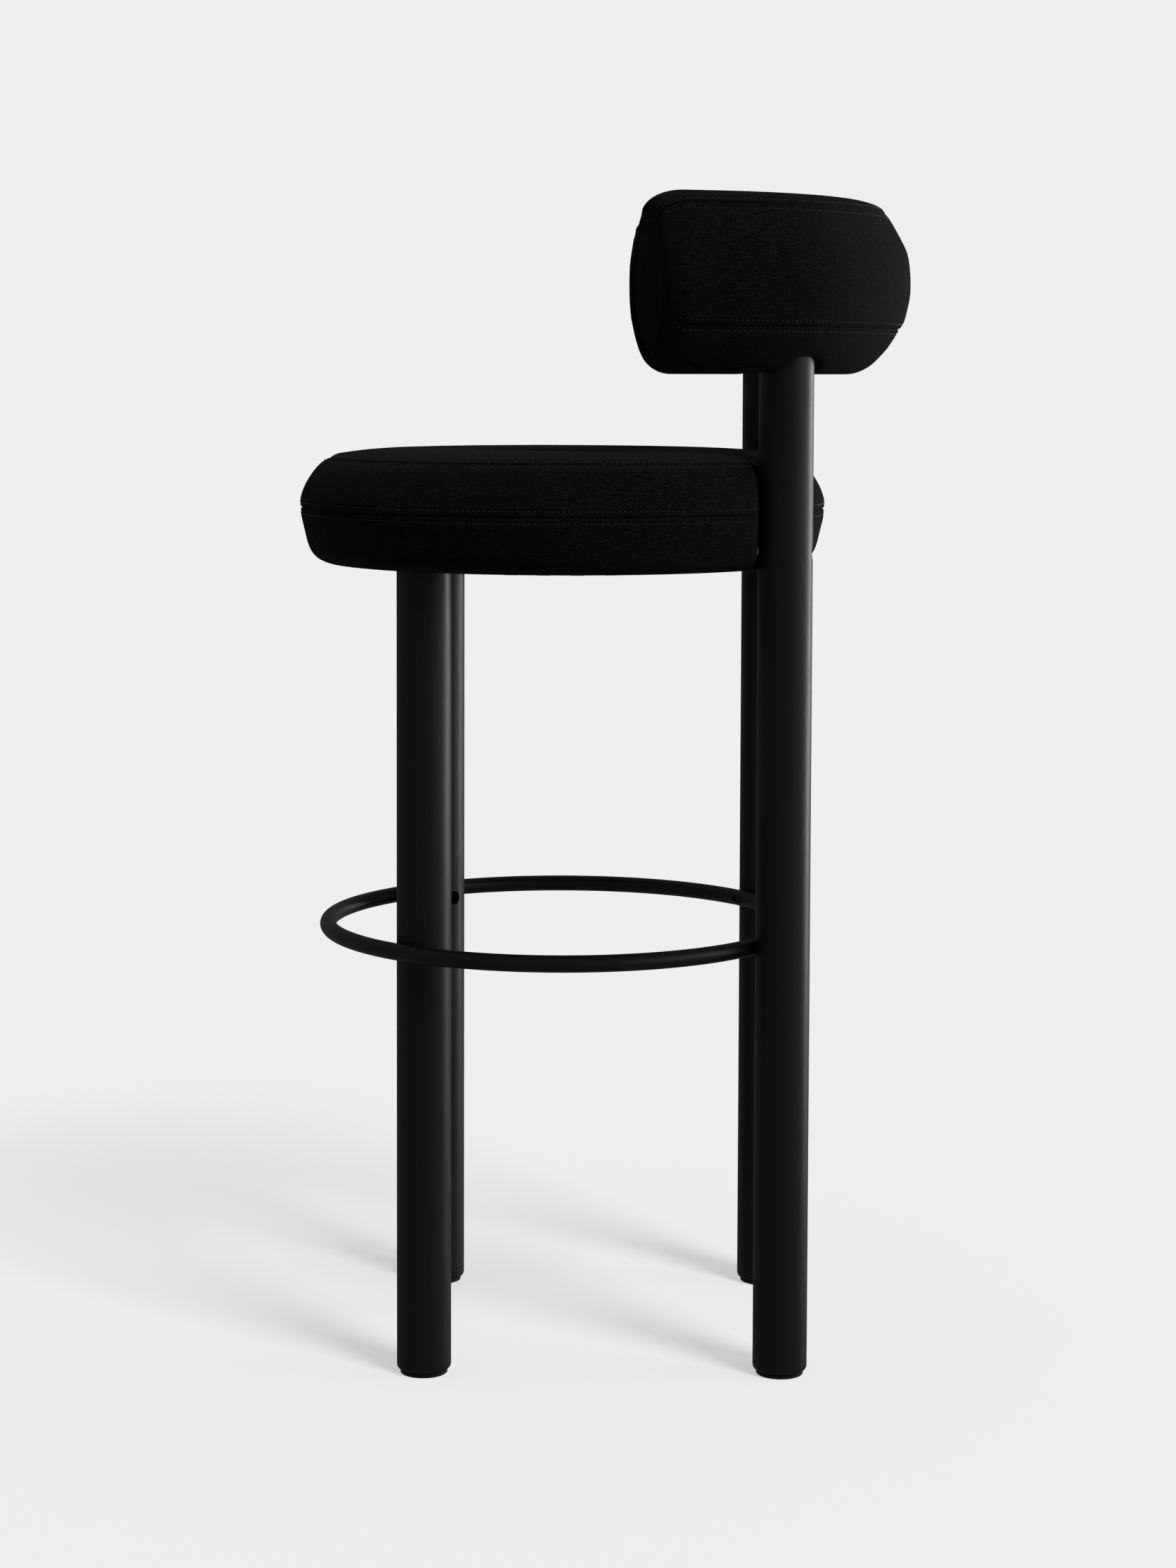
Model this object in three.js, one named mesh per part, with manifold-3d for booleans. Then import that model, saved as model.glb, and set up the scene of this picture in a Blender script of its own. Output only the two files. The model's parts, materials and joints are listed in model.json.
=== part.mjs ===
// A bar stool in millimetres, +Z up: four round wooden legs, a round seat cushion let into the two
// tall rear legs, a curved backrest bolster on top of them, and a steel ring as a footrest.
// The sitter faces -Y, and the sitter's left side is +X. The origin is on the floor, under the
// middle of the stool's box.
import * as THREE from "three";
import { mergeVertices } from "three/addons/utils/BufferGeometryUtils.js";
import Module from "manifold-3d";

const wasm = await Module();
wasm.setup();

// Driving dimensions. Y is measured from the seat's axis here; the whole group is moved at the end.
const gap = 0.3; // left between pieces that touch
const legDiameter = 45;
const legHalfSpacing = 134; // from the middle plane to the axis of a leg
const frontLegY = -112;
const rearLegY = 183.5;
const legEdgeRadius = 4; // round edge at the foot of a leg

const glideDiameter = 39;
const glideThickness = 3;

const ringDiameter = 403; // of the bar's centre line
const ringBarDiameter = 14;
const ringHeight = 355;

const seatDiameter = 450;
const seatTop = 764;
const seatBottom = 667;
const seatTopSeam = 757;
const seatMiddleSeam = 714;
const seatBaseDiameter = 414;
const seatBaseThickness = 24;
const seatBaseBevel = 23; // how far the base's lower edge is bevelled back under the rounded rim
const coverThickness = 1.5;

const backTop = 976;
const backBottom = 828.5;
const backThickness = 110;
const backTopSeam = 964;
const backBottomSeam = 866;
const backArcY = 62; // centre of the bolster's arc
const backArcRadius = 181; // of the bolster's centre line
const backArcAngle = THREE.MathUtils.degToRad(72); // to each side of the middle plane
const backArmLength = 49; // straight arm after the arc
const backEndRounding = 24;
const endPanelHalfWidth = 37;
const endPanelHalfHeight = 54;
const coreThickness = 60; // wooden core inside the bolster
const coreHeight = 96;
const coreEndInset = 30;
const legTopInCore = 934;

// Screws, bolts, nuts and inserts.
const boltDiameter = 8;
const buttonHead = { shoulder: 0.62, edge: 0.9, edgeHeight: 0.55, socket: 0.45, socketFloor: 0.35 };
const ringScrew = { headRadius: 4.6, headHeight: 3, shankRadius: 3, rearLength: 40 };
const ringInsert = { radius: 5, length: 18, depth: 6 };
const ringScrewFlat = 1.5; // depth of the flat face on the ring's inner side under a rear screw
const ringScrewRecess = 9; // depth of the counterbore on a front leg's inner side
const ringScrewEnd = 4; // how far a front screw goes into the ring's bar beyond its centre line
const insertFlange = 1.5; // width and thickness of the flange on a threaded insert
const seatInsert = { radius: 5.5, length: 25 };
const frontBolt = { headRadius: 9.5, headHeight: 2, length: 45 };
const seatBolt = { length: 78, headRadius: 6.5, headHeight: 5, nutRadius: 7, nutLength: 17, nutY: 128 };
const seatBoltSeat = rearLegY + legDiameter / 2 - 12; // Y of the counterbore's bottom
const plugRadius = 7.2;
const plugThickness = 3;
const plugInset = 1.6; // how far a plug lies below the leg's rearmost line
const dowel = { radius: 3, inBase: 13, inLeg: 15, behindAxis: 15 };
const glideScrew = { headRadius: 3.6, shankRadius: 1.5, length: 16 };
const backBolt = { height: 905, headRadius: 6.5, headHeight: 4, nutRadius: 9, nutThickness: 2 };
const backBoltSeat = 4; // depth of the counterbores on both sides of the bolster's core

// How finely the shapes are divided.
const roundSides = 24; // sides of a leg or a glide
const smallSides = 8; // sides of a bolt or an insert
const seatSides = 32; // sides of the seat's round pieces
const ringSteps = 40; // steps round the footrest ring
const arcSteps = 12; // steps along the bolster's arc
const curveSteps = 2; // steps on each curve of a cushion's outline

// Values that follow from them.
const legRadius = legDiameter / 2;
const ringRadius = ringDiameter / 2;
const barRadius = ringBarDiameter / 2;
const seatRadius = seatDiameter / 2;
const baseRadius = seatBaseDiameter / 2;
const boltRadius = boltDiameter / 2;
const legFoot = glideThickness + gap;
const baseBottom = seatBottom + coverThickness + 2 * gap;
const baseTop = baseBottom + seatBaseThickness;
const boltHeight = baseTop - 9;
const frontLegTop = baseBottom - gap;
const backMiddle = (backTop + backBottom) / 2;
const backArcLength = backArcRadius * backArcAngle;
const backHalfLength = backArcLength + backArmLength;
const backRear = backArcY + backArcRadius + backThickness / 2;
const seatAxisY = -(backRear - seatRadius) / 2; // puts the middle of the stool's depth at Y = 0
const ringCutRadius = barRadius + gap;

const finishes = {
  wood: { color: 0x15151a, roughness: 0.5, metalness: 0 },
  fabric: { color: 0x0b0b0d, roughness: 0.95, metalness: 0 },
  paintedSteel: { color: 0x0a0a0b, roughness: 0.45, metalness: 0.3 },
  zincSteel: { color: 0x9a9da0, roughness: 0.4, metalness: 0.9 },
  brass: { color: 0xb08d4a, roughness: 0.35, metalness: 0.9 },
  plywood: { color: 0xb48f62, roughness: 0.8, metalness: 0 },
  foam: { color: 0xd9d4c0, roughness: 1, metalness: 0 },
  plastic: { color: 0x0d0d0e, roughness: 0.6, metalness: 0 },
  liningCloth: { color: 0x121213, roughness: 1, metalness: 0 },
};

// ---- Booleans -------------------------------------------------------------------------------

function toSolid(geometry) {
  const bare = geometry.clone();
  bare.deleteAttribute("normal");
  bare.deleteAttribute("uv");
  const merged = mergeVertices(bare, 1e-4);
  return new wasm.Manifold(
    new wasm.Mesh({
      numProp: 3,
      vertProperties: new Float32Array(merged.attributes.position.array),
      triVerts: new Uint32Array(merged.index.array),
    }),
  );
}

function toGeometry(solid) {
  const mesh = solid.getMesh();
  const geometry = new THREE.BufferGeometry();
  geometry.setAttribute("position", new THREE.BufferAttribute(mesh.vertProperties, 3));
  geometry.setIndex(new THREE.BufferAttribute(mesh.triVerts, 1));
  const faceted = geometry.toNonIndexed();
  faceted.computeVertexNormals();
  return faceted;
}

function subtract(geometry, ...cutters) {
  let solid = toSolid(geometry);
  for (const cutter of cutters) solid = solid.subtract(toSolid(cutter));
  return toGeometry(solid);
}

function intersect(geometry, other) {
  return toGeometry(toSolid(geometry).intersect(toSolid(other)));
}

// ---- Shapes ---------------------------------------------------------------------------------

// A solid of revolution about +Z from [radius, height] points that start and end on the axis,
// listed upwards.
function turned(points, sides = smallSides) {
  const profile = points.map(([radius, height]) => new THREE.Vector2(radius, height));
  return new THREE.LatheGeometry(profile, sides).rotateX(Math.PI / 2);
}

function cylinder(radius, low, high, sides = smallSides) {
  return turned([[0, low], [radius, low], [radius, high], [0, high]], sides);
}

// Everything between two heights.
function slab(low, high) {
  const wide = 1200;
  return new THREE.BoxGeometry(wide, wide, high - low).translate(0, 0, (low + high) / 2);
}

// Turns a shape built along +Z to point along a direction, and puts its origin at a place.
function pointed(geometry, direction, place) {
  const turn = new THREE.Quaternion().setFromUnitVectors(new THREE.Vector3(0, 0, 1), direction);
  return geometry.clone().applyQuaternion(turn).translate(place.x, place.y, place.z);
}

// A closed solid through a row of rings with equal numbers of points, closed at both ends.
function loft(rings) {
  const count = rings[0].length;
  const positions = [];
  const corner = (i, k) => rings[i][k % count];
  const face = (...corners) => corners.forEach((p) => positions.push(p.x, p.y, p.z));
  for (let i = 0; i + 1 < rings.length; i++) {
    for (let k = 0; k < count; k++) {
      face(corner(i, k), corner(i + 1, k), corner(i + 1, k + 1));
      face(corner(i, k), corner(i + 1, k + 1), corner(i, k + 1));
    }
  }
  const last = rings.length - 1;
  for (let k = 1; k + 1 < count; k++) {
    face(corner(0, 0), corner(0, k), corner(0, k + 1));
    face(corner(last, 0), corner(last, k + 1), corner(last, k));
  }
  const geometry = new THREE.BufferGeometry();
  return geometry.setAttribute("position", new THREE.Float32BufferAttribute(positions, 3));
}

// ---- Legs, glides and ring ------------------------------------------------------------------

const legPlaces = [
  { name: "front_leg_left", end: "front", x: legHalfSpacing, y: frontLegY, top: frontLegTop },
  { name: "front_leg_right", end: "front", x: -legHalfSpacing, y: frontLegY, top: frontLegTop },
  { name: "rear_leg_left", end: "rear", x: legHalfSpacing, y: rearLegY, top: legTopInCore },
  { name: "rear_leg_right", end: "rear", x: -legHalfSpacing, y: rearLegY, top: legTopInCore },
];

function legSpot(leg, height) {
  return new THREE.Vector3(leg.x, leg.y, height);
}

// Horizontal direction from a centre on the middle plane to a leg's axis.
function awayFrom(centreY, leg) {
  return new THREE.Vector3(leg.x, leg.y - centreY, 0).normalize();
}

function legShaft(leg, clearance, low, high) {
  return cylinder(legRadius + clearance, low, high, roundSides).translate(leg.x, leg.y, 0);
}

function legBlank(leg) {
  const foot = [0, 30, 60, 90].map((degrees) => {
    const angle = THREE.MathUtils.degToRad(degrees);
    return [
      legRadius - legEdgeRadius * (1 - Math.sin(angle)),
      legFoot + legEdgeRadius * (1 - Math.cos(angle)),
    ];
  });
  const points = [[0, legFoot], ...foot, [legRadius, leg.top], [0, leg.top]];
  return turned(points, roundSides).translate(leg.x, leg.y, 0);
}

// A full ring of round bar, as a turned loop closed on itself.
function ringBar(barR, sides) {
  const loop = [];
  for (let i = 0; i <= sides; i++) {
    const angle = (i / sides) * 2 * Math.PI;
    loop.push(new THREE.Vector2(ringRadius + barR * Math.cos(angle), barR * Math.sin(angle)));
  }
  return new THREE.LatheGeometry(loop, ringSteps).rotateX(Math.PI / 2).translate(0, 0, ringHeight);
}

// Screws between ring and legs lie on the line from the ring's centre to the leg's axis. Rear ones
// go outwards from the inner side of the ring; front ones go outwards through the leg.
function ringScrewParts(leg) {
  const direction = awayFrom(0, leg);
  const legDistance = Math.hypot(leg.x, leg.y);
  const { headRadius, headHeight, shankRadius, rearLength } = ringScrew;
  if (leg.end === "rear") {
    const seatAt = ringRadius - barRadius + ringScrewFlat;
    return {
      direction,
      seatAt,
      screw: buttonScrew(headRadius, headHeight, shankRadius, rearLength),
      insert: threadedInsert(shankRadius + gap, ringInsert.radius, ringInsert.length),
      insertAt: legDistance - legRadius + ringInsert.depth,
    };
  }
  const seatAt = legDistance - legRadius + ringScrewRecess;
  return {
    direction,
    seatAt,
    screw: buttonScrew(headRadius, headHeight, shankRadius, ringRadius + ringScrewEnd - seatAt),
  };
}

// A button-head screw along +Z: its head ends at 0 and its shank goes on to the given length. The
// head has a hexagonal socket.
function buttonScrew(headRadius, headHeight, shankRadius, length) {
  const body = turned([
    [0, -headHeight],
    [headRadius * buttonHead.shoulder, -headHeight],
    [headRadius * buttonHead.edge, -headHeight * buttonHead.edgeHeight],
    [headRadius, 0],
    [shankRadius, 0],
    [shankRadius, length - 1],
    [shankRadius - 1, length],
    [0, length],
  ]);
  const socketFloor = -headHeight * buttonHead.socketFloor;
  const socket = cylinder(headRadius * buttonHead.socket, -headHeight - 1, socketFloor, 6);
  return subtract(body, socket);
}

function threadedInsert(innerRadius, outerRadius, length) {
  const wall = [
    [innerRadius, 0],
    [outerRadius + insertFlange, 0],
    [outerRadius + insertFlange, insertFlange],
    [outerRadius, insertFlange],
    [outerRadius, length],
    [innerRadius, length],
    [innerRadius, 0],
  ];
  return turned(wall);
}

function alongFrom(direction, distance, height) {
  return direction.clone().multiplyScalar(distance).setZ(height);
}

// Cutters for the ring's groove and screw in a leg.
function ringCutters(leg) {
  const { direction, seatAt, insertAt } = ringScrewParts(leg);
  const cutters = [ringBar(ringCutRadius, 8)];
  const hole = (radius, from, to) =>
    pointed(cylinder(radius, from, to), direction, new THREE.Vector3(0, 0, ringHeight));
  if (leg.end === "rear") {
    const flangeRadius = ringInsert.radius + insertFlange;
    cutters.push(hole(ringInsert.radius + gap, ringRadius, insertAt + ringInsert.length + gap));
    cutters.push(hole(flangeRadius + gap, ringRadius, insertAt + insertFlange + gap));
    cutters.push(hole(ringScrew.shankRadius + gap, ringRadius, seatAt + ringScrew.rearLength + 2));
  } else {
    cutters.push(hole(ringScrew.headRadius + 1.4, seatAt - 20, seatAt));
    cutters.push(hole(ringScrew.shankRadius + gap, seatAt - 1, ringRadius));
  }
  return cutters;
}

function makeLeg(leg) {
  const cutters = [...ringCutters(leg), pointed(cylinder(1.8, 0, 20), up, legSpot(leg, 0))];
  if (leg.end === "rear") {
    cutters.push(...seatBoltCutters(leg), ...backBoltCutters(leg));
  } else {
    const insertRoom = seatInsert.radius + insertFlange + gap;
    cutters.push(pointed(cylinder(insertRoom, 0, 30), down, legSpot(leg, leg.top + 1)));
    cutters.push(pointed(cylinder(boltRadius + gap, -1, 60), down, legSpot(leg, leg.top)));
    const dowelDepth = dowel.inLeg + 1;
    cutters.push(pointed(cylinder(dowel.radius + gap, -1, dowelDepth), down, dowelSpot(leg)));
  }
  return subtract(legBlank(leg), ...cutters);
}

// A low round foot with a countersunk hole.
function makeGlide() {
  const { headRadius, shankRadius } = glideScrew;
  const hole = shankRadius + gap;
  const radius = glideDiameter / 2;
  return turned(
    [
      [hole, 2.6],
      [headRadius + gap, 0.6],
      [headRadius + gap, 0],
      [radius - 0.6, 0],
      [radius, 0.6],
      [radius, glideThickness],
      [hole, glideThickness],
      [hole, 2.6],
    ],
    roundSides,
  );
}

function makeGlideScrew() {
  const { headRadius, shankRadius, length } = glideScrew;
  return turned([
    [0, 0.4],
    [headRadius, 0.4],
    [headRadius, 0.7],
    [shankRadius, 2.7],
    [shankRadius, length - 3],
    [0, length],
  ]);
}

function makeRing() {
  const cutters = [];
  for (const leg of legPlaces) {
    const { direction, seatAt } = ringScrewParts(leg);
    const centre = new THREE.Vector3(0, 0, ringHeight);
    const holeFrom = leg.end === "rear" ? seatAt - 4 : ringRadius - 10;
    const holeTo = leg.end === "rear" ? ringRadius + 10 : ringRadius + ringScrewEnd + gap;
    cutters.push(pointed(cylinder(ringScrew.shankRadius + gap, holeFrom, holeTo), direction, centre));
    if (leg.end === "rear") {
      const flat = cylinder(ringScrew.headRadius + gap, seatAt - 8, seatAt);
      cutters.push(pointed(flat, direction, centre));
    }
  }
  return subtract(ringBar(barRadius, 8), ...cutters);
}

// ---- Seat -----------------------------------------------------------------------------------

const up = new THREE.Vector3(0, 0, 1);
const down = new THREE.Vector3(0, 0, -1);
const rearLegs = legPlaces.filter((leg) => leg.end === "rear");
const frontLegs = legPlaces.filter((leg) => leg.end === "front");

// The cushion's outline from the middle of its underside round the rim to the middle of its top.
function seatOutline() {
  const outline = new THREE.Path();
  outline.moveTo(0, seatBottom);
  outline.lineTo(seatRadius - 38, seatBottom);
  outline.quadraticCurveTo(seatRadius - 9, seatBottom, seatRadius - 3, seatBottom + 30);
  outline.quadraticCurveTo(seatRadius, seatMiddleSeam - 8, seatRadius, seatMiddleSeam + 2);
  outline.quadraticCurveTo(seatRadius, seatTop - 29, seatRadius - 14, seatTop - 16);
  outline.quadraticCurveTo(seatRadius - 23, seatTop - 7, seatRadius - 36, seatTop - 3);
  outline.quadraticCurveTo(seatRadius - 80, seatTop, 0, seatTop);
  return outline.getPoints(curveSteps);
}

// The whole cushion, shrunk by an inset on all sides.
function seatCushion(inset) {
  const middle = (seatTop + seatBottom) / 2;
  const half = (seatTop - seatBottom) / 2;
  const points = seatOutline().map((p) => [
    p.x * (1 - inset / seatRadius),
    middle + (p.y - middle) * (1 - inset / half),
  ]);
  return turned(points, seatSides);
}

// The cushion with the notches that the rear legs stand in.
function notchedCushion(inset, legClearance) {
  const notches = rearLegs.map((leg) => legShaft(leg, legClearance, 0, 900));
  return subtract(seatCushion(inset), ...notches);
}

function frontLegClearance(leg) {
  return legShaft(leg, gap, 0, frontLegTop + gap);
}

function makeSeatShell() {
  const outer = notchedCushion(0, gap);
  const inner = notchedCushion(coverThickness, gap + coverThickness);
  const opening = cylinder(baseRadius - 42, 0, seatBottom + 20, roundSides);
  return subtract(outer, inner, opening, ...frontLegs.map(frontLegClearance), ...seatBoltHoles(gap));
}

function makeSeatBase() {
  const blank = turned(
    [
      [0, baseBottom],
      [baseRadius - seatBaseBevel, baseBottom],
      [baseRadius, baseBottom + 9.5],
      [baseRadius, baseTop],
      [0, baseTop],
    ],
    seatSides,
  );
  const notches = rearLegs.map((leg) => legShaft(leg, 2 * gap + coverThickness, 0, 900));
  const cutters = [...notches, ...seatBoltHoles(gap)];
  for (const leg of rearLegs) cutters.push(barrelNutBlank(leg, gap));
  for (const leg of frontLegs) {
    const { headRadius, headHeight } = frontBolt;
    const sink = cylinder(headRadius + gap, -headHeight - gap, 30);
    cutters.push(pointed(cylinder(boltRadius + gap, -30, 30), up, legSpot(leg, baseTop)));
    cutters.push(pointed(sink, up, legSpot(leg, baseTop)));
    cutters.push(pointed(cylinder(dowel.radius + gap, -1, dowel.inBase + 1), up, dowelSpot(leg)));
  }
  return subtract(blank, ...cutters);
}

function makeSeatFoam() {
  const body = notchedCushion(coverThickness + gap, 2 * gap + coverThickness);
  const baseRoom = cylinder(baseRadius + gap, 0, baseTop + gap, seatSides);
  return subtract(body, baseRoom, ...seatBoltHoles(gap));
}

// A sheet of lining cloth over the underside of the base, from leg to leg.
function makeDustCover() {
  const low = seatBottom - coverThickness - gap;
  const sheet = cylinder(baseRadius - 28, low, low + coverThickness, seatSides);
  return subtract(sheet, ...frontLegs.map(frontLegClearance));
}

// ---- Bolts between seat base and legs ---------------------------------------------------------

// A bolt runs forwards through each rear leg from behind, into a barrel nut in the seat's base. A
// wooden plug closes its hole.
const backwards = new THREE.Vector3(0, 1, 0);
const forwards = new THREE.Vector3(0, -1, 0);

// A cylinder along Y through a rear leg at the bolt's height.
function boltBore(leg, radius, fromY, toY) {
  const place = new THREE.Vector3(leg.x, 0, boltHeight);
  return pointed(cylinder(radius, fromY, toY), backwards, place);
}

function seatBoltHoles(clearance) {
  return rearLegs.map((leg) => boltBore(leg, boltRadius + clearance, 110, seatBoltSeat + 30));
}

function seatBoltCutters(leg) {
  return [
    boltBore(leg, boltRadius + gap, seatBoltSeat - 60, seatBoltSeat + 5),
    boltBore(leg, plugRadius + gap, seatBoltSeat - gap, seatBoltSeat + 30),
  ];
}

function makeSeatBolt(leg) {
  const bolt = buttonScrew(seatBolt.headRadius, seatBolt.headHeight, boltRadius, seatBolt.length);
  return pointed(bolt, forwards, new THREE.Vector3(leg.x, seatBoltSeat, boltHeight));
}

function makeSeatBoltPlug(leg) {
  const plug = turned([
    [0, 0],
    [plugRadius, 0],
    [plugRadius, plugThickness - 0.6],
    [plugRadius - 0.6, plugThickness],
    [0, plugThickness],
  ]);
  const outside = rearLegY + legRadius - plugInset;
  return pointed(plug, backwards, new THREE.Vector3(leg.x, outside - plugThickness, boltHeight));
}

function barrelNutBlank(leg, clearance) {
  const place = new THREE.Vector3(leg.x, seatBolt.nutY, baseTop - 1);
  const radius = seatBolt.nutRadius + clearance;
  return pointed(cylinder(radius, -clearance, seatBolt.nutLength), down, place);
}

function makeBarrelNut(leg) {
  return subtract(barrelNutBlank(leg, 0), ...seatBoltHoles(gap));
}

// Front legs hang from a flat-head bolt that comes down through the base into a threaded insert.
function makeFrontLegBolt() {
  const { headRadius, headHeight, length } = frontBolt;
  return turned([
    [0, -length],
    [boltRadius - 1, -length],
    [boltRadius, 1 - length],
    [boltRadius, -headHeight],
    [headRadius, -headHeight],
    [headRadius, -0.4],
    [headRadius - 1, 0],
    [0, 0],
  ]);
}

function dowelSpot(leg) {
  return new THREE.Vector3(leg.x, leg.y + dowel.behindAxis, frontLegTop);
}

// ---- Backrest -------------------------------------------------------------------------------

// The bolster's centre line seen from above, by distance from the middle plane.
function backLine(distance) {
  const side = Math.sign(distance) || 1;
  const turn = Math.min(Math.abs(distance), backArcLength) / backArcRadius;
  const beyond = Math.max(Math.abs(distance) - backArcLength, 0);
  return {
    x: side * (backArcRadius * Math.sin(turn) + beyond * Math.cos(turn)),
    y: backArcY + backArcRadius * Math.cos(turn) - beyond * Math.sin(turn),
    outX: side * Math.sin(turn),
    outY: Math.cos(turn),
  };
}

// Places a section, given as points (outwards, height), across the centre line.
function sectionAt(distance, section) {
  const { x, y, outX, outY } = backLine(distance);
  return section.map((p) => new THREE.Vector3(x + p.x * outX, y + p.x * outY, p.y));
}

// The bolster's section: a closed loop that starts at the crown, the same on both sides.
function bolsterSection(inset) {
  const a = backThickness / 2;
  const side = new THREE.Path();
  side.moveTo(0, backTop);
  side.quadraticCurveTo(a - 27, backTop, a - 17, backTop - 14);
  side.quadraticCurveTo(a, backTop - 36, a, backMiddle + 10);
  side.quadraticCurveTo(a, backBottomSeam + 21, a - 7, backBottomSeam + 3);
  side.quadraticCurveTo(a - 29, backBottom, 0, backBottom);
  const outer = side.getPoints(curveSteps);
  const inner = outer.slice(1, -1).reverse().map((p) => new THREE.Vector2(-p.x, p.y));
  const half = (backTop - backBottom) / 2;
  return [...outer, ...inner].map(
    (p) => new THREE.Vector2(
      p.x * (1 - inset / a),
      backMiddle + (p.y - backMiddle) * (1 - inset / half),
    ),
  );
}

// Evenly spaced places between the two ends of a run along the centre line.
function spread(from, to, count) {
  return Array.from({ length: count + 1 }, (_, i) => from + ((to - from) * i) / count);
}

// The bolster with rounded ends, shrunk by an inset on all sides.
function bolster(inset) {
  const end = backHalfLength - inset;
  const endSteps = [0, 0.12, 0.4].map((share) => ({
    distance: end - backEndRounding * share,
    inset: inset + backEndRounding * (1 - Math.sqrt(1 - (1 - share) ** 2)),
  }));
  const straight = { distance: end - backEndRounding, inset };
  const rightEnd = [...endSteps, straight].map((step) => ({ ...step, distance: -step.distance }));
  const arc = spread(-backArcLength, backArcLength, arcSteps).map((distance) => ({ distance, inset }));
  const leftEnd = [straight, ...endSteps.slice().reverse()];
  const stations = [...rightEnd, ...arc, ...leftEnd];
  return loft(stations.map((step) => sectionAt(step.distance, bolsterSection(step.inset))));
}

function backCore(extra) {
  const w = coreThickness / 2 + extra;
  const h = coreHeight / 2 + extra;
  const corner = (x, z) => new THREE.Vector2(x, backMiddle + z);
  const section = [corner(-w, h), corner(w, h), corner(w, -h), corner(-w, -h)];
  const end = backHalfLength - coreEndInset + extra;
  const stations = [-end, ...spread(-backArcLength, backArcLength, arcSteps), end];
  return loft(stations.map((distance) => sectionAt(distance, section)));
}

function backLegHoles() {
  return rearLegs.map((leg) => legShaft(leg, gap, 700, legTopInCore + gap));
}

function makeBackCore() {
  return subtract(backCore(0), ...backLegHoles(), ...rearLegs.flatMap(backBoltRoom));
}

function makeBackFoam() {
  return subtract(bolster(coverThickness + gap), backCore(gap), ...backLegHoles());
}

// Bolts that hold the core to the legs, from the sitter's side outwards.
const nutSeat = coreThickness / 2 - backBoltSeat;

function backBoltFrame(leg) {
  const direction = awayFrom(backArcY, leg);
  return { direction, centre: legSpot(leg, backBolt.height) };
}

function backBoltCutters(leg) {
  const { direction, centre } = backBoltFrame(leg);
  return [pointed(cylinder(boltRadius + gap, -40, 40), direction, centre)];
}

function backBoltRoom(leg) {
  const { direction, centre } = backBoltFrame(leg);
  const face = coreThickness / 2;
  return [
    pointed(cylinder(boltRadius + gap, -40, 40), direction, centre),
    pointed(cylinder(backBolt.headRadius + gap, -face - 5, -nutSeat + gap), direction, centre),
    pointed(cylinder(backBolt.nutRadius + gap, nutSeat - gap, face + 5), direction, centre),
  ];
}

function makeBackBolt(leg) {
  const { direction } = backBoltFrame(leg);
  const seat = legSpot(leg, backBolt.height).addScaledVector(direction, -nutSeat);
  const { headRadius, headHeight } = backBolt;
  const length = coreThickness - backBoltSeat - 0.5;
  const bolt = buttonScrew(headRadius, headHeight, boltRadius, length);
  return pointed(bolt, direction, seat);
}

// A nut with a round plate, let into the outer side of the core.
function makeBackNut(leg) {
  const { direction } = backBoltFrame(leg);
  const place = legSpot(leg, backBolt.height).addScaledVector(direction, nutSeat);
  const hole = boltRadius + gap;
  const { nutRadius, nutThickness } = backBolt;
  const plate = turned([
    [hole, 0],
    [nutRadius, 0],
    [nutRadius, nutThickness],
    [hole, nutThickness],
    [hole, 0],
  ]);
  return pointed(plate, direction, place);
}

// Everything on the sitter's side of the bolster's centre line, moved outwards by a shift.
function sitterSide(shift) {
  const shape = new THREE.Shape();
  const reach = 320;
  const line = spread(-backHalfLength - reach, backHalfLength + reach, 40).map(backLine);
  line.forEach((p, i) => {
    const x = p.x + shift * p.outX;
    const y = p.y + shift * p.outY;
    if (i === 0) shape.moveTo(x, y);
    else shape.lineTo(x, y);
  });
  return new THREE.ExtrudeGeometry(shape, { depth: 400, bevelEnabled: false }).translate(0, 0, 700);
}

// An oval prism through the bolster's end, which cuts out the end panel.
function endPanelPrism(side, extra) {
  const oval = new THREE.Shape();
  oval.absellipse(0, 0, endPanelHalfWidth + extra, endPanelHalfHeight + extra, 0, 2 * Math.PI);
  const depth = 200;
  const prism = new THREE.ExtrudeGeometry(oval, { depth, bevelEnabled: false, curveSegments: 6 });
  const { x, y, outX, outY } = backLine(side * (backHalfLength - backEndRounding));
  const across = new THREE.Vector3(outX, outY, 0);
  const onwards = across.clone().cross(up).multiplyScalar(side);
  const frame = new THREE.Matrix4().makeBasis(across.multiplyScalar(side), up, onwards);
  frame.setPosition(x, y, backMiddle);
  return prism.applyMatrix4(frame);
}

function makeBackShell() {
  return subtract(bolster(0), bolster(coverThickness), ...backLegHoles());
}

// The six panels of the bolster's cover, cut from one thin shell along its seams.
function makeBackPanels() {
  const shell = makeBackShell();
  const holes = [1, -1].map((side) => endPanelPrism(side, gap / 2));
  const sleeve = subtract(shell, ...holes);
  const band = intersect(sleeve, slab(backBottomSeam + gap / 2, backTopSeam - gap / 2));
  return {
    backrest_cover_top: intersect(sleeve, slab(backTopSeam + gap / 2, 1100)),
    backrest_cover_bottom: intersect(sleeve, slab(700, backBottomSeam - gap / 2)),
    backrest_cover_outer: subtract(band, sitterSide(gap / 2)),
    backrest_cover_inner: intersect(band, sitterSide(-gap / 2)),
    backrest_end_panel_left: intersect(shell, endPanelPrism(1, -gap / 2)),
    backrest_end_panel_right: intersect(shell, endPanelPrism(-1, -gap / 2)),
  };
}

// ---- Assembly -------------------------------------------------------------------------------

const stool = new THREE.Group();
stool.position.y = seatAxisY;

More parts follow.
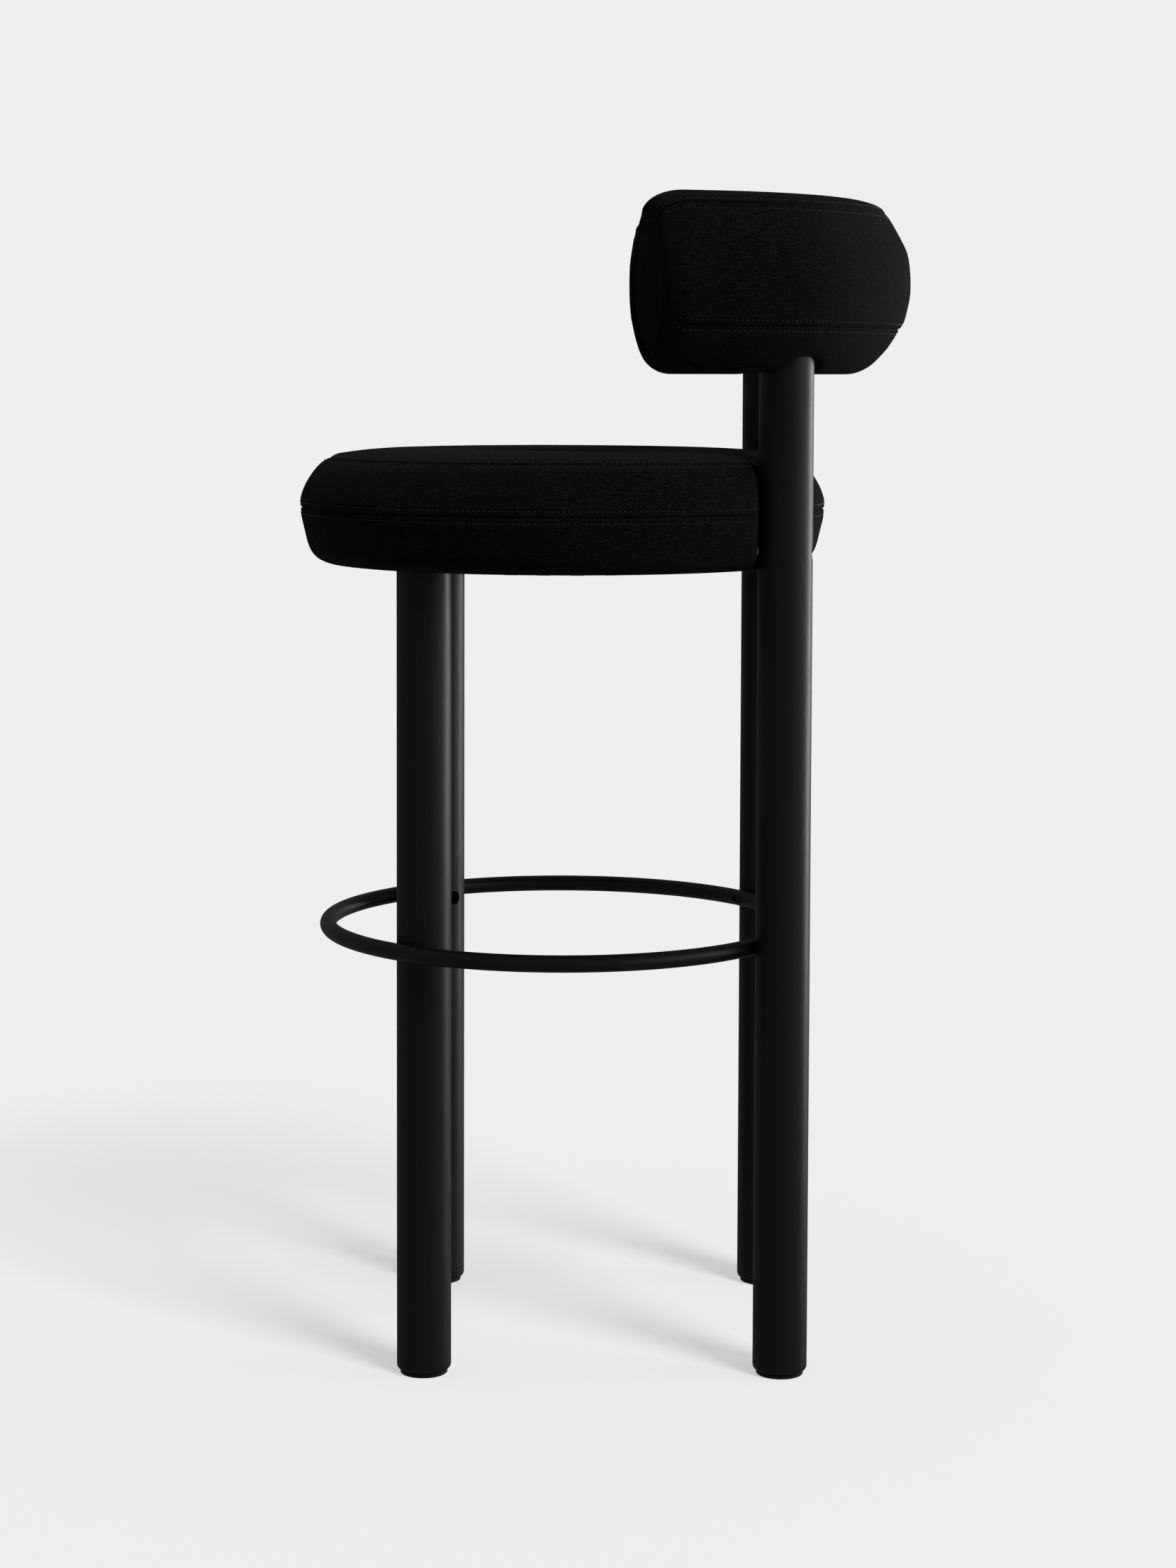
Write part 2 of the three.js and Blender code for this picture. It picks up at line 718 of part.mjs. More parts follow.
function addPiece(name, geometry, finish, place = new THREE.Vector3()) {
  const mesh = new THREE.Mesh(geometry, new THREE.MeshStandardMaterial(finish));
  mesh.name = name;
  mesh.position.copy(place);
  stool.add(mesh);
}

for (const leg of legPlaces) {
  const foot = legSpot(leg, 0);
  const ending = leg.name.replace("_leg", "");
  const { direction, seatAt, screw, insert: ringSleeve, insertAt } = ringScrewParts(leg);
  const screwPlace = alongFrom(direction, seatAt - gap, ringHeight);
  addPiece(leg.name, makeLeg(leg), finishes.wood);
  addPiece("glide_" + ending, makeGlide(), finishes.plastic, foot);
  addPiece("glide_screw_" + ending, makeGlideScrew(), finishes.zincSteel, foot);
  addPiece("ring_screw_" + ending, pointed(screw, direction, screwPlace), finishes.paintedSteel);
  if (leg.end === "rear") {
    const insertPlace = alongFrom(direction, insertAt, ringHeight);
    addPiece("ring_insert_" + ending, pointed(ringSleeve, direction, insertPlace), finishes.brass);
    addPiece("seat_bolt_" + ending, makeSeatBolt(leg), finishes.zincSteel);
    addPiece("seat_bolt_plug_" + ending, makeSeatBoltPlug(leg), finishes.wood);
    addPiece("barrel_nut_" + ending, makeBarrelNut(leg), finishes.zincSteel);
    addPiece("backrest_bolt_" + ending, makeBackBolt(leg), finishes.zincSteel);
    addPiece("backrest_nut_" + ending, makeBackNut(leg), finishes.zincSteel);
  } else {
    const insertPlace = legSpot(leg, leg.top - 2);
    const insert = threadedInsert(boltRadius + gap, seatInsert.radius, seatInsert.length);
    const sleeve = pointed(insert, down, insertPlace);
    const bolt = makeFrontLegBolt();
    const pin = cylinder(dowel.radius, -dowel.inLeg, dowel.inBase);
    addPiece("seat_insert_" + ending, sleeve, finishes.brass);
    addPiece("seat_bolt_" + ending, bolt, finishes.zincSteel, legSpot(leg, baseTop));
    addPiece("seat_dowel_" + ending, pin, finishes.plywood, dowelSpot(leg));
  }
}

addPiece("footrest_ring", makeRing(), finishes.paintedSteel);

const seatShell = makeSeatShell();
const seatPanels = {
  seat_cover_top: slab(seatTopSeam + gap / 2, 900),
  seat_cover_upper_band: slab(seatMiddleSeam + gap / 2, seatTopSeam - gap / 2),
  seat_cover_lower_band: slab(500, seatMiddleSeam - gap / 2),
};
addPiece("seat_base", makeSeatBase(), finishes.plywood);
addPiece("seat_foam", makeSeatFoam(), finishes.foam);
addPiece("seat_dust_cover", makeDustCover(), finishes.liningCloth);
for (const [name, part] of Object.entries(seatPanels)) {
  addPiece(name, intersect(seatShell, part), finishes.fabric);
}

addPiece("backrest_core", makeBackCore(), finishes.plywood);
addPiece("backrest_foam", makeBackFoam(), finishes.foam);
for (const [name, geometry] of Object.entries(makeBackPanels())) {
  addPiece(name, geometry, finishes.fabric);
}

export default stool;
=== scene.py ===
"""The looks of a bar stool: black-stained wooden legs, a round cushion, a curved padded backrest and
a steel footrest ring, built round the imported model. Metres, +Z up; the sitter faces -Y."""

import json
import math

import bpy
import numpy as np
from mathutils import Matrix, Vector


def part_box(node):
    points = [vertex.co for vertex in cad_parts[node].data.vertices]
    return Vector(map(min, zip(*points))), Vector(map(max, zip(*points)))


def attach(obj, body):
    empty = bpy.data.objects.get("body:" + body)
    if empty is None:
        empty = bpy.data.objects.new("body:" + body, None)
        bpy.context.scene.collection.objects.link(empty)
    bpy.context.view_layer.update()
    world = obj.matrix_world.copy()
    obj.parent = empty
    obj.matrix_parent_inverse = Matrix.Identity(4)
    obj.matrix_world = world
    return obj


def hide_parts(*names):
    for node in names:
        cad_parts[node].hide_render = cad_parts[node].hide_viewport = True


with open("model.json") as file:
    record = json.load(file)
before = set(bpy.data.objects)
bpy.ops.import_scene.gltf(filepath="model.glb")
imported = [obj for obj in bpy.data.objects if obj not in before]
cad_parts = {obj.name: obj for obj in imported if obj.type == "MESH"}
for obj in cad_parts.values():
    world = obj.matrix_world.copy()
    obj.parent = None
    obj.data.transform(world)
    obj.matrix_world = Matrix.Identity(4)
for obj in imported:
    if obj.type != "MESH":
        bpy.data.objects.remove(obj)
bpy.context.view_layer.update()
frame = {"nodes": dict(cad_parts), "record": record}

MM = 0.001
UP = np.array([0.0, 0.0, 1.0])

# ---- Sizes read from the frame ----


def middle(node):
    low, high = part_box(node)
    return (low + high) / 2


def width(node):
    low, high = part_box(node)
    return high.x - low.x


front_ends = ("front_left", "front_right")
rear_ends = ("rear_left", "rear_right")
seat_axis_y = middle("seat_base").y
seat_radius = seat_axis_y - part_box("seat_cover_upper_band")[0].y
seat_seams = [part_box("seat_cover_top")[0].z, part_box("seat_cover_upper_band")[0].z]

back_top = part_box("backrest_cover_top")[1].z
back_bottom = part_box("backrest_cover_bottom")[0].z
back_seams = [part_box("backrest_cover_top")[0].z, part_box("backrest_cover_bottom")[1].z]
back_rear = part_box("backrest_cover_outer")[1].y

leg_radius = width("front_leg_left") / 2
leg_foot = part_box("front_leg_left")[0].z
leg_spots = {end: middle("glide_" + end) for end in front_ends + rear_ends}
glide_radius = width("glide_front_left") / 2
ring_low, ring_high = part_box("footrest_ring")
ring_bar_radius = (ring_high.z - ring_low.z) / 2
ring_radius = width("footrest_ring") / 2 - ring_bar_radius
ring_height = (ring_high.z + ring_low.z) / 2
ring_axis = Vector((0, seat_axis_y, ring_height))

# The bolster's centre line is an arc about a point in front of it, with a straight arm at each end.
back_half_depth = 55 * MM
back_arc_radius = 181 * MM
back_arc_y = back_rear - back_arc_radius - back_half_depth
back_arc_length = back_arc_radius * math.radians(72)
back_half_length = back_arc_length + 52 * MM
back_half_height = (back_top - back_bottom) / 2
back_middle = (back_top + back_bottom) / 2

stitch_offset = 5 * MM  # from a seam to the row of stitches on each side of it
stitch_pitch = 4.5 * MM
stitch_half_length = 1.35 * MM
pucker_height = 0.10 * MM


# ---- Lines and grids ----


def catmull_rom(values, at, wrap=False):
    """Values along the first axis at fractional places, by a smooth curve through them."""
    values = np.asarray(values, float)
    at = np.asarray(at, float)
    base = np.floor(at).astype(int)
    count = len(values)

    def pick(index):
        return values[index % count] if wrap else values[np.clip(index, 0, count - 1)]

    t = (at - base).reshape((-1,) + (1,) * (values.ndim - 1))
    before, here, after, beyond = (pick(base + k) for k in (-1, 0, 1, 2))
    slope_in = (after - before) / 2
    slope_out = (beyond - here) / 2
    return (
        here
        + slope_in * t
        + (3 * (after - here) - 2 * slope_in - slope_out) * t**2
        + (2 * (here - after) + slope_in + slope_out) * t**3
    )


def lengths_along(points):
    """Distance of each point from the first, along the line through them."""
    steps = np.linalg.norm(np.diff(points, axis=0), axis=1)
    return np.concatenate([[0], np.cumsum(steps)])


def smooth_line(corners, wrap=False, per_corner=60):
    """A finely divided smooth line through a few points."""
    spans = len(corners) - (0 if wrap else 1)
    return catmull_rom(corners, np.linspace(0, spans, spans * per_corner + 1), wrap)


def at_lengths(line, lengths):
    """Points of a line at given distances along it."""
    along = lengths_along(line)
    return np.stack([np.interp(lengths, along, line[:, k]) for k in range(line.shape[1])], axis=1)


def graded(total, seams, coarse, fine, reach=8 * MM):
    """Places from 0 to total, closer together near the seams."""
    probe = np.linspace(0, total, 8000)
    near = np.zeros_like(probe)
    for seam in seams:
        near = np.maximum(near, np.exp(-(((probe - seam) / reach) ** 4)))
    density = 1 / coarse + (1 / fine - 1 / coarse) * near
    filled = np.concatenate([[0], np.cumsum((density[1:] + density[:-1]) / 2 * np.diff(probe))])
    count = math.ceil(filled[-1])
    return np.interp(np.linspace(0, filled[-1], count + 1), filled, probe)


def seam_dent(distance):
    """Depth of the fabric's surface at a distance from a seam with a row of stitches on each side."""
    away = np.abs(distance)
    crease = 1.7 * MM * np.exp(-((away / (0.9 * MM)) ** 2))
    pressed = 0.5 * MM * np.exp(-((away / (stitch_offset * 1.1)) ** 4))
    stitched = 0.55 * MM * np.exp(-(((away - stitch_offset) / (0.9 * MM)) ** 2))
    return crease + pressed + stitched


def grid_normals(grid):
    """Outward unit normals of rows of closed loops, whose first and last rows are near a pole."""
    around = np.roll(grid, -1, axis=1) - np.roll(grid, 1, axis=1)
    along = np.gradient(grid, axis=0)
    normals = np.cross(along, around)
    size = np.linalg.norm(normals, axis=2, keepdims=True)
    normals = normals / np.maximum(size, 1e-12)
    outwards = grid - grid.mean(axis=(0, 1))
    return normals if (normals * outwards).sum() > 0 else -normals


# ---- Meshes ----


def new_mesh(name, points, faces):
    mesh = bpy.data.meshes.new(name)
    mesh.from_pydata([tuple(p) for p in points], [], faces)
    mesh.update()
    piece = bpy.data.objects.new(name, mesh)
    bpy.context.scene.collection.objects.link(piece)
    return piece


def shade_smooth(piece, sharp_above=40):
    mesh = piece.data
    mesh.polygons.foreach_set("use_smooth", [True] * len(mesh.polygons))
    mesh.set_sharp_from_angle(angle=math.radians(sharp_above))


def closed_grid(name, grid, uv=None):
    """A closed mesh from rows of closed loops, with a point in the middle of each end row. uv holds a
    place on the cloth for each corner: rows by columns plus one."""
    rows, columns = grid.shape[:2]
    flat = grid.reshape(-1, 3)
    poles = np.array([grid[0].mean(axis=0), grid[-1].mean(axis=0)])
    points = np.concatenate([flat, poles])
    first_pole, last_pole = rows * columns, rows * columns + 1
    faces = []
    corners = []
    for i in range(rows - 1):
        here, below = i * columns, (i + 1) * columns
        for j in range(columns):
            k = (j + 1) % columns
            faces.append((here + j, here + k, below + k, below + j))
            corners += [(i, j), (i, j + 1), (i + 1, j + 1), (i + 1, j)]
    for row, pole, order in ((0, first_pole, 1), (rows - 1, last_pole, -1)):
        for j in range(columns):
            k = (j + 1) % columns
            ends = [(row * columns + j, (row, j)), (row * columns + k, (row, j + 1))][::order]
            faces.append((pole, ends[1][0], ends[0][0]))
            corners += [(row, j), ends[1][1], ends[0][1]]
    probe = np.cross(grid[1, 1] - grid[1, 0], grid[2, 0] - grid[1, 0])
    if probe @ grid_normals(grid)[1, 0] < 0:
        faces = [face[::-1] for face in faces]
        sizes = [len(face) for face in faces]
        starts = np.concatenate([[0], np.cumsum(sizes)])[:-1]
        corners = [c for s, n in zip(starts, sizes) for c in corners[s : s + n][::-1]]
    piece = new_mesh(name, points, faces)
    if uv is not None:
        index = np.array(corners)
        layer = piece.data.uv_layers.new(name="cloth")
        layer.data.foreach_set("uv", uv[index[:, 0], index[:, 1]].astype(np.float32).ravel())
    piece.data.polygons.foreach_set("use_smooth", [True] * len(faces))
    return piece


def turned(name, profile, sides=96, place=(0, 0, 0), direction=UP):
    """A closed solid of revolution from [radius, height] points between two points on its axis."""
    angles = np.linspace(0, 2 * math.pi, sides, endpoint=False)
    ring = np.stack([np.cos(angles), np.sin(angles)], axis=1)
    body = np.array(profile[1:-1], float)
    points = [(0, 0, profile[0][1]), (0, 0, profile[-1][1])]
    points += [(r * c, r * s, z) for r, z in body for c, s in ring]
    faces = []
    for j in range(sides):
        k = (j + 1) % sides
        last = 2 + (len(body) - 1) * sides
        faces.append((0, 2 + k, 2 + j))
        faces.append((1, last + j, last + k))
        for i in range(len(body) - 1):
            low, high = 2 + i * sides, 2 + (i + 1) * sides
            faces.append((low + j, low + k, high + k, high + j))
    piece = new_mesh(name, points, faces)
    turn = Vector(UP).rotation_difference(Vector(direction)).to_matrix().to_4x4()
    piece.data.transform(Matrix.Translation(Vector(place)) @ turn)
    shade_smooth(piece)
    return piece


def rounded(radius, height, edge, steps=6, inward=False):
    """Points of a quarter-round edge at [radius, height], from the end face to the side."""
    points = []
    for i in range(steps + 1):
        angle = math.pi / 2 * i / steps
        rise = edge * (1 - math.cos(angle))
        points.append([radius - edge * (1 - math.sin(angle)), height + (-rise if inward else rise)])
    return points[::-1] if inward else points


def cut(piece, *cutters):
    """Takes the cutters' shapes out of a piece."""
    for cutter in cutters:
        step = piece.modifiers.new("cut", "BOOLEAN")
        step.operation = "DIFFERENCE"
        step.solver = "EXACT"
        step.object = cutter
    baked = bpy.data.meshes.new_from_object(
        piece.evaluated_get(bpy.context.evaluated_depsgraph_get())
    )
    piece.modifiers.clear()
    piece.data = baked
    for cutter in cutters:
        bpy.data.objects.remove(cutter)
    shade_smooth(piece)


def keep(piece, material, slot, *nodes):
    """Gives a finished piece its material and body, and hides the CAD nodes it stands for. The slot is
    not used.
    """
    piece.data.materials.clear()
    piece.data.materials.append(material)
    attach(piece, "root")
    if nodes:
        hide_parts(*nodes)
    return piece


# ---- Materials ----


class Nodes:
    """Short calls for building one material's node tree."""

    def __init__(self, name):
        self.material = bpy.data.materials.new(name)
        self.material.use_nodes = True
        self.tree = self.material.node_tree
        self.shader = self.tree.nodes["Principled BSDF"]

    def add(self, kind, values=None, **settings):
        node = self.tree.nodes.new("ShaderNode" + kind)
        for key, value in settings.items():
            setattr(node, key, value)
        for socket, value in (values or {}).items():
            self.put(node.inputs[socket], value)
        return node

    def put(self, socket, value):
        if isinstance(value, bpy.types.NodeSocket):
            self.tree.links.new(value, socket)
        else:
            socket.default_value = value

    def math(self, operation, a, b=0.0):
        return self.add("Math", {0: a, 1: b}, operation=operation).outputs[0]

    def object_place(self):
        return self.add("TexCoord").outputs["Object"]

    def stretched(self, place, scale):
        return self.add("Mapping", {"Vector": place, "Scale": scale}).outputs[0]

    def noise(self, place, scale=1.0, detail=2.0, roughness=0.5):
        values = {"Vector": place, "Scale": scale, "Detail": detail, "Roughness": roughness}
        return self.add("TexNoise", values).outputs["Fac"]

    def ramp(self, value, *stops):
        node = self.add("ValToRGB", {"Fac": value})
        points = node.color_ramp.elements
        while len(points) < len(stops):
            points.new(0.5)
        for point, (place, colour) in zip(points, stops):
            point.position = place
            point.color = (*colour, 1) if hasattr(colour, "__len__") else (colour,) * 3 + (1,)
        return node.outputs["Color"]

    def bump(self, height, strength, distance):
        values = {"Height": height, "Strength": strength, "Distance": distance}
        return self.add("Bump", values).outputs["Normal"]

    def finish(self, **values):
        for socket, value in values.items():
            self.put(self.shader.inputs[socket.replace("_", " ")], value)
        return self.material


def cover_fabric():
    """Black upholstery cloth with a plain weave of uneven yarns, with painted shade between the yarns.
    Its UV map is in metres.
    """
    n = Nodes("black_woven_cloth")
    place = n.add("UVMap", uv_map="cloth").outputs["UV"]
    yarn = 0.95 * MM
    yarns = n.stretched(place, (1 / yarn, 1 / yarn, 1))
    across, along, _ = n.add("SeparateXYZ", {0: yarns}).outputs
    over = n.add("TexChecker", {"Vector": yarns, "Scale": 1}).outputs["Fac"]
    warp = n.math("ABSOLUTE", n.math("SINE", n.math("MULTIPLY", across, math.pi)))
    weft = n.math("ABSOLUTE", n.math("SINE", n.math("MULTIPLY", along, math.pi)))
    crowned = n.add("Mix", {"Factor": over, 2: warp, 3: weft}, data_type="FLOAT").outputs[0]
    level = n.noise(n.stretched(place, (140, 800, 1)), detail=2, roughness=0.6)
    upright = n.noise(n.stretched(place, (800, 180, 1)), detail=2, roughness=0.6)
    slubs = n.math("MAXIMUM", level, n.math("MULTIPLY", upright, 0.94))
    fuzz = n.noise(place, 2600, detail=2)
    patches = n.noise(place, 9, detail=3)
    height = n.math("ADD", crowned, n.math("MULTIPLY", slubs, 2.4))
    height = n.math("ADD", height, n.math("MULTIPLY", fuzz, 0.5))
    # The yarns' own uneven tone, plus painted shade: crowned makes each yarn lighter on its crown and
    # darker at its edges, where the yarns meet
    tone_and_painted_shade = n.math("ADD", n.math("MULTIPLY", slubs, 1.1), n.math("MULTIPLY", crowned, 0.12))
    tone_and_painted_shade = n.math("ADD", tone_and_painted_shade, n.math("MULTIPLY", patches, 0.12))
    colour = n.ramp(tone_and_painted_shade, (0.58, (0.0012, 0.0012, 0.0013)), (0.92, (0.0140, 0.0140, 0.0148)))
    return n.finish(
        Base_Color=colour,
        Roughness=0.92,
        Specular_IOR_Level=0.05,
        Sheen_Weight=0.03,
        Sheen_Roughness=0.5,
        Normal=n.bump(height, 0.75, 0.35 * MM),
    )


def stitch_thread():
    n = Nodes("black_stitching_thread")
    place = n.object_place()
    twist = n.noise(place, 2200, detail=2)
    return n.finish(
        Base_Color=n.ramp(twist, (0.3, 0.013), (0.7, 0.030)),
        Roughness=0.55,
        Specular_IOR_Level=0.4,
        Normal=n.bump(twist, 0.5, 0.1 * MM),
    )


def stained_wood():
    """Black-stained wood with open pores that run up the leg."""
    n = Nodes("black_stained_wood")
    place = n.object_place()
    figure = n.noise(n.stretched(place, (70, 70, 2.2)), detail=4, roughness=0.6)
    fibre = n.noise(n.stretched(place, (900, 900, 16)), detail=3, roughness=0.65)
    pores = n.noise(n.stretched(place, (620, 620, 30)), detail=2)
    open_pores = n.math("GREATER_THAN", pores, 0.64)
    tone = n.math("ADD", n.math("MULTIPLY", figure, 0.55), n.math("MULTIPLY", fibre, 0.45))
    colour = n.ramp(tone, (0.3, (0.0040, 0.0040, 0.0042)), (0.72, (0.0085, 0.0085, 0.0088)))
    height = n.math("SUBTRACT", n.math("MULTIPLY", fibre, 0.8), n.math("MULTIPLY", open_pores, 0.8))
    rough = n.add(
        "MapRange", {"Value": tone, "From Min": 0.3, "From Max": 0.7, "To Min": 0.40, "To Max": 0.56}
    )
    return n.finish(
        Base_Color=colour,
        Roughness=rough.outputs[0],
        Specular_IOR_Level=0.38,
        Normal=n.bump(height, 0.35, 0.25 * MM),
    )


def painted_steel():
    """Satin black powder coat with a very fine orange-peel surface."""
    n = Nodes("satin_black_paint")
    place = n.object_place()
    peel = n.noise(place, 900, detail=2)
    wear = n.noise(place, 35, detail=3)
    return n.finish(
        Base_Color=n.ramp(wear, (0.3, 0.0035), (0.7, 0.0065)),
        Roughness=0.42,
        Specular_IOR_Level=0.4,
        Normal=n.bump(peel, 0.12, 0.1 * MM),
    )


def glide_plastic():
    n = Nodes("black_glide_plastic")
    place = n.object_place()
    grain = n.noise(place, 1800, detail=2)
    scuffs = n.noise(n.stretched(place, (60, 500, 60)), detail=3)
    return n.finish(
        Base_Color=n.ramp(scuffs, (0.3, 0.006), (0.75, 0.013)),
        Roughness=0.62,
        Specular_IOR_Level=0.35,
        Normal=n.bump(grain, 0.2, 0.1 * MM),
    )


def lining_cloth():
    """Black non-woven lining: pressed fibres with a fine dimpled pattern."""
    n = Nodes("black_lining_cloth")
    place = n.object_place()
    fibres = n.noise(n.stretched(place, (900, 1300, 900)), detail=4, roughness=0.7)
    dimples = n.add("TexVoronoi", {"Vector": place, "Scale": 420.0}).outputs["Distance"]
    height = n.math("ADD", n.math("MULTIPLY", fibres, 0.6), n.math("MULTIPLY", dimples, 0.7))
    return n.finish(
        Base_Color=n.ramp(fibres, (0.3, 0.004), (0.7, 0.012)),
        Roughness=0.95,
        Specular_IOR_Level=0.2,
        Normal=n.bump(height, 0.5, 0.2 * MM),
    )


def plated_metal(name, dark, light, roughness):
    n = Nodes(name)
    place = n.object_place()
    mottle = n.noise(place, 120, detail=4)
    scratches = n.noise(n.stretched(place, (1500, 90, 1500)), detail=2)
    return n.finish(
        Base_Color=n.ramp(mottle, (0.3, dark), (0.7, light)),
        Metallic=1.0,
        Roughness=roughness,
        Normal=n.bump(scratches, 0.1, 0.05 * MM),
    )


def plywood():
    """Birch plywood: the face's grain, with darker glue lines on the edges."""
    n = Nodes("birch_plywood")
    place = n.object_place()
    grain = n.noise(n.stretched(place, (40, 600, 40)), detail=4, roughness=0.6)
    layers = n.math("SINE", n.math("MULTIPLY", n.add("SeparateXYZ", {0: place}).outputs[2], 4200))
    tone = n.math("ADD", n.math("MULTIPLY", layers, 0.12), grain)
    return n.finish(
        Base_Color=n.ramp(tone, (0.3, (0.30, 0.19, 0.10)), (0.8, (0.62, 0.45, 0.28))),
        Roughness=0.7,
        Normal=n.bump(grain, 0.2, 0.1 * MM),
    )


# ---- Legs, glides and ring ----


# Round cutters for holes; "before" is how far outside the surface a cutter starts.
SCREW_HOLE = {"radius": 6 * MM, "length": 14 * MM, "before": 5 * MM}
PLUG_HOLE = {"radius": 7.6 * MM, "length": 15.5 * MM, "before": 10 * MM}
RING_RECESS = {"radius": 5.6 * MM, "length": 9.5 * MM, "before": 8 * MM}

SCREW_RADIUS = 4.6 * MM
SCREW_HEIGHT = 3 * MM
SCREW_INSET = 1.4 * MM  # how far a rear screw's head is let into the ring
SCREW_DEPTH = 8.6 * MM  # how far a front screw's head is let into its leg
GROOVE_GAP = 0.3 * MM  # between the ring and its groove in a leg


def leg_direction(end):
    """The level direction from the seat's axis to a leg."""
    spot = leg_spots[end]
    return Vector((spot.x, spot.y - seat_axis_y, 0)).normalized()


def make_leg(end, wood):
    name = end.replace("_", "_leg_")
    spot = leg_spots[end]
    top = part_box(name)[1].z
    foot = rounded(leg_radius, leg_foot, 4 * MM)
    heights = np.linspace(leg_foot + 12 * MM, top, round(top / (12 * MM)))
    profile = [[0, leg_foot], *foot, *[[leg_radius, z] for z in heights], [0, top]]
    leg = turned(name + "_turned", profile, place=(spot.x, spot.y, 0))
    groove = torus("cutter", ring_bar_radius + GROOVE_GAP, 240, 24)
    if end in front_ends:
        outwards = leg_direction(end)
        from_middle = leg_radius + SCREW_HOLE["before"]
        start = Vector((spot.x, spot.y, ring_height)) - outwards * from_middle
        hole = round_cutter(SCREW_HOLE, start, outwards)
    else:
        plug = middle("seat_bolt_plug_" + end)
        start = Vector((spot.x, spot.y + leg_radius + PLUG_HOLE["before"], plug.z))
        hole = round_cutter(PLUG_HOLE, start, Vector((0, -1, 0)))
    cut(leg, groove, hole)
    return keep(leg, wood, "stained_wood", name)


def round_cutter(size, start, direction):
    radius, length = size["radius"], size["length"]
    profile = [[0, 0], [radius, 0], [radius, length], [0, length]]
    return turned("cutter", profile, 48, start, direction)


def ring_points(bar_radius, steps, sides):
    """Rows of a round bar bent into the footrest ring: one closed section at each step."""
    turns = np.linspace(0, 2 * math.pi, steps, endpoint=False)[:, None]
    angles = np.linspace(0, 2 * math.pi, sides, endpoint=False)[None, :]
    radius = ring_radius + bar_radius * np.cos(angles)
    x = radius * np.cos(turns)
    y = seat_axis_y + radius * np.sin(turns)
    z = ring_height + bar_radius * np.sin(angles) + 0 * turns
    return np.stack([x, y, z], axis=2)


def torus(name, bar_radius, steps, sides):
    grid = ring_points(bar_radius, steps, sides)
    faces = []
    for i in range(steps):
        here, after = i * sides, ((i + 1) % steps) * sides
        for j in range(sides):
            k = (j + 1) % sides
            faces.append((here + j, after + j, after + k, here + k))
    ring = new_mesh(name, grid.reshape(-1, 3), faces)
    shade_smooth(ring)
    return ring


def make_ring(paint):
    ring = torus("footrest_ring_bar", ring_bar_radius, 256, 32)
    cutters = []
    inner = ring_radius - ring_bar_radius
    for end in rear_ends:
        outwards = leg_direction(end)
        start = ring_axis + outwards * (inner - RING_RECESS["before"])
        cutters.append(round_cutter(RING_RECESS, start, outwards))
    cut(ring, *cutters)
    return keep(ring, paint, "painted_steel", "footrest_ring")


def button_head(name, radius, height, place, direction):
    """A button-head screw's head with a hexagonal socket, on a short length of shank."""
    dome = [[radius * math.sin(a), height * math.cos(a)] for a in np.linspace(0.35, 1.5, 8)]
    shank, bottom = radius * 0.6, -6 * MM
    under = [[0, bottom], [shank, bottom], [shank, 0], [radius, 0]]
    profile = [*under, *dome[::-1], [0, dome[0][1]]]
    head = turned(name, profile, 48, place, direction)
    socket_start = Vector(place) + Vector(direction) * height * 0.35
    socket_profile = [[0, 0], [radius * 0.48, 0], [radius * 0.48, height], [0, height]]
    socket = turned("cutter", socket_profile, 6, socket_start, direction)
    cut(head, socket)
    return head


def make_ring_screw(end, paint):
    """Only the heads of the ring's screws show: inside the ring at the rear legs, and down a hole in
    the inner side of the front legs."""
    node = "ring_screw_" + end
    outwards = leg_direction(end)
    if end in rear_ends:
        distance = ring_radius - ring_bar_radius + SCREW_INSET
    else:
        at_leg = Vector((leg_spots[end].x, leg_spots[end].y, ring_height))
        distance = (at_leg - ring_axis).length - leg_radius + SCREW_DEPTH
    place = ring_axis + outwards * distance
    head = button_head(node + "_head", SCREW_RADIUS, SCREW_HEIGHT, place, -outwards)
    return keep(head, paint, "painted_steel", node)


def make_glide(end, plastic):
    spot = leg_spots[end]
    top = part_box("glide_" + end)[1].z
    edge = rounded(glide_radius, 0, 0.7 * MM, 4)
    profile = [[0, 1.2 * MM], [3.9 * MM, 1.2 * MM], [3.9 * MM, 0], *edge]
    profile += [[glide_radius, top - 0.3 * MM], [glide_radius - 0.3 * MM, top], [0, top]]
    glide = turned("glide_disc_" + end, profile, 96, (spot.x, spot.y, 0))
    return keep(glide, plastic, "glide_plastic", "glide_" + end)


def make_plug(end, wood):
    """The round wooden plug over the seat bolt, seen on the rear face of a rear leg."""
    node = "seat_bolt_plug_" + end
    low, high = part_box(node)
    centre = middle(node)
    radius = (high.z - low.z) / 2
    rim = rounded(radius, high.y - low.y, 0.7 * MM, 4, inward=True)
    profile = [[0, 0], [radius, 0], *rim, [0, high.y - low.y]]
    place = (centre.x, low.y, centre.z)
    plug = turned("seat_bolt_plug_disc_" + end, profile, 48, place, (0, 1, 0))
    return keep(plug, wood, "stained_wood", node)


# ---- Cushions ----

run_spacing = 6 * MM  # between the points of a cover while it is simulated
run_held = 3.5 * MM  # the cloth is held this close to a seam
run_steps = 20
run_pressure = 3.0
leg_clearance = 0.4 * MM
slot_lip = 8 * MM  # width of the soft edge round a slot for a leg


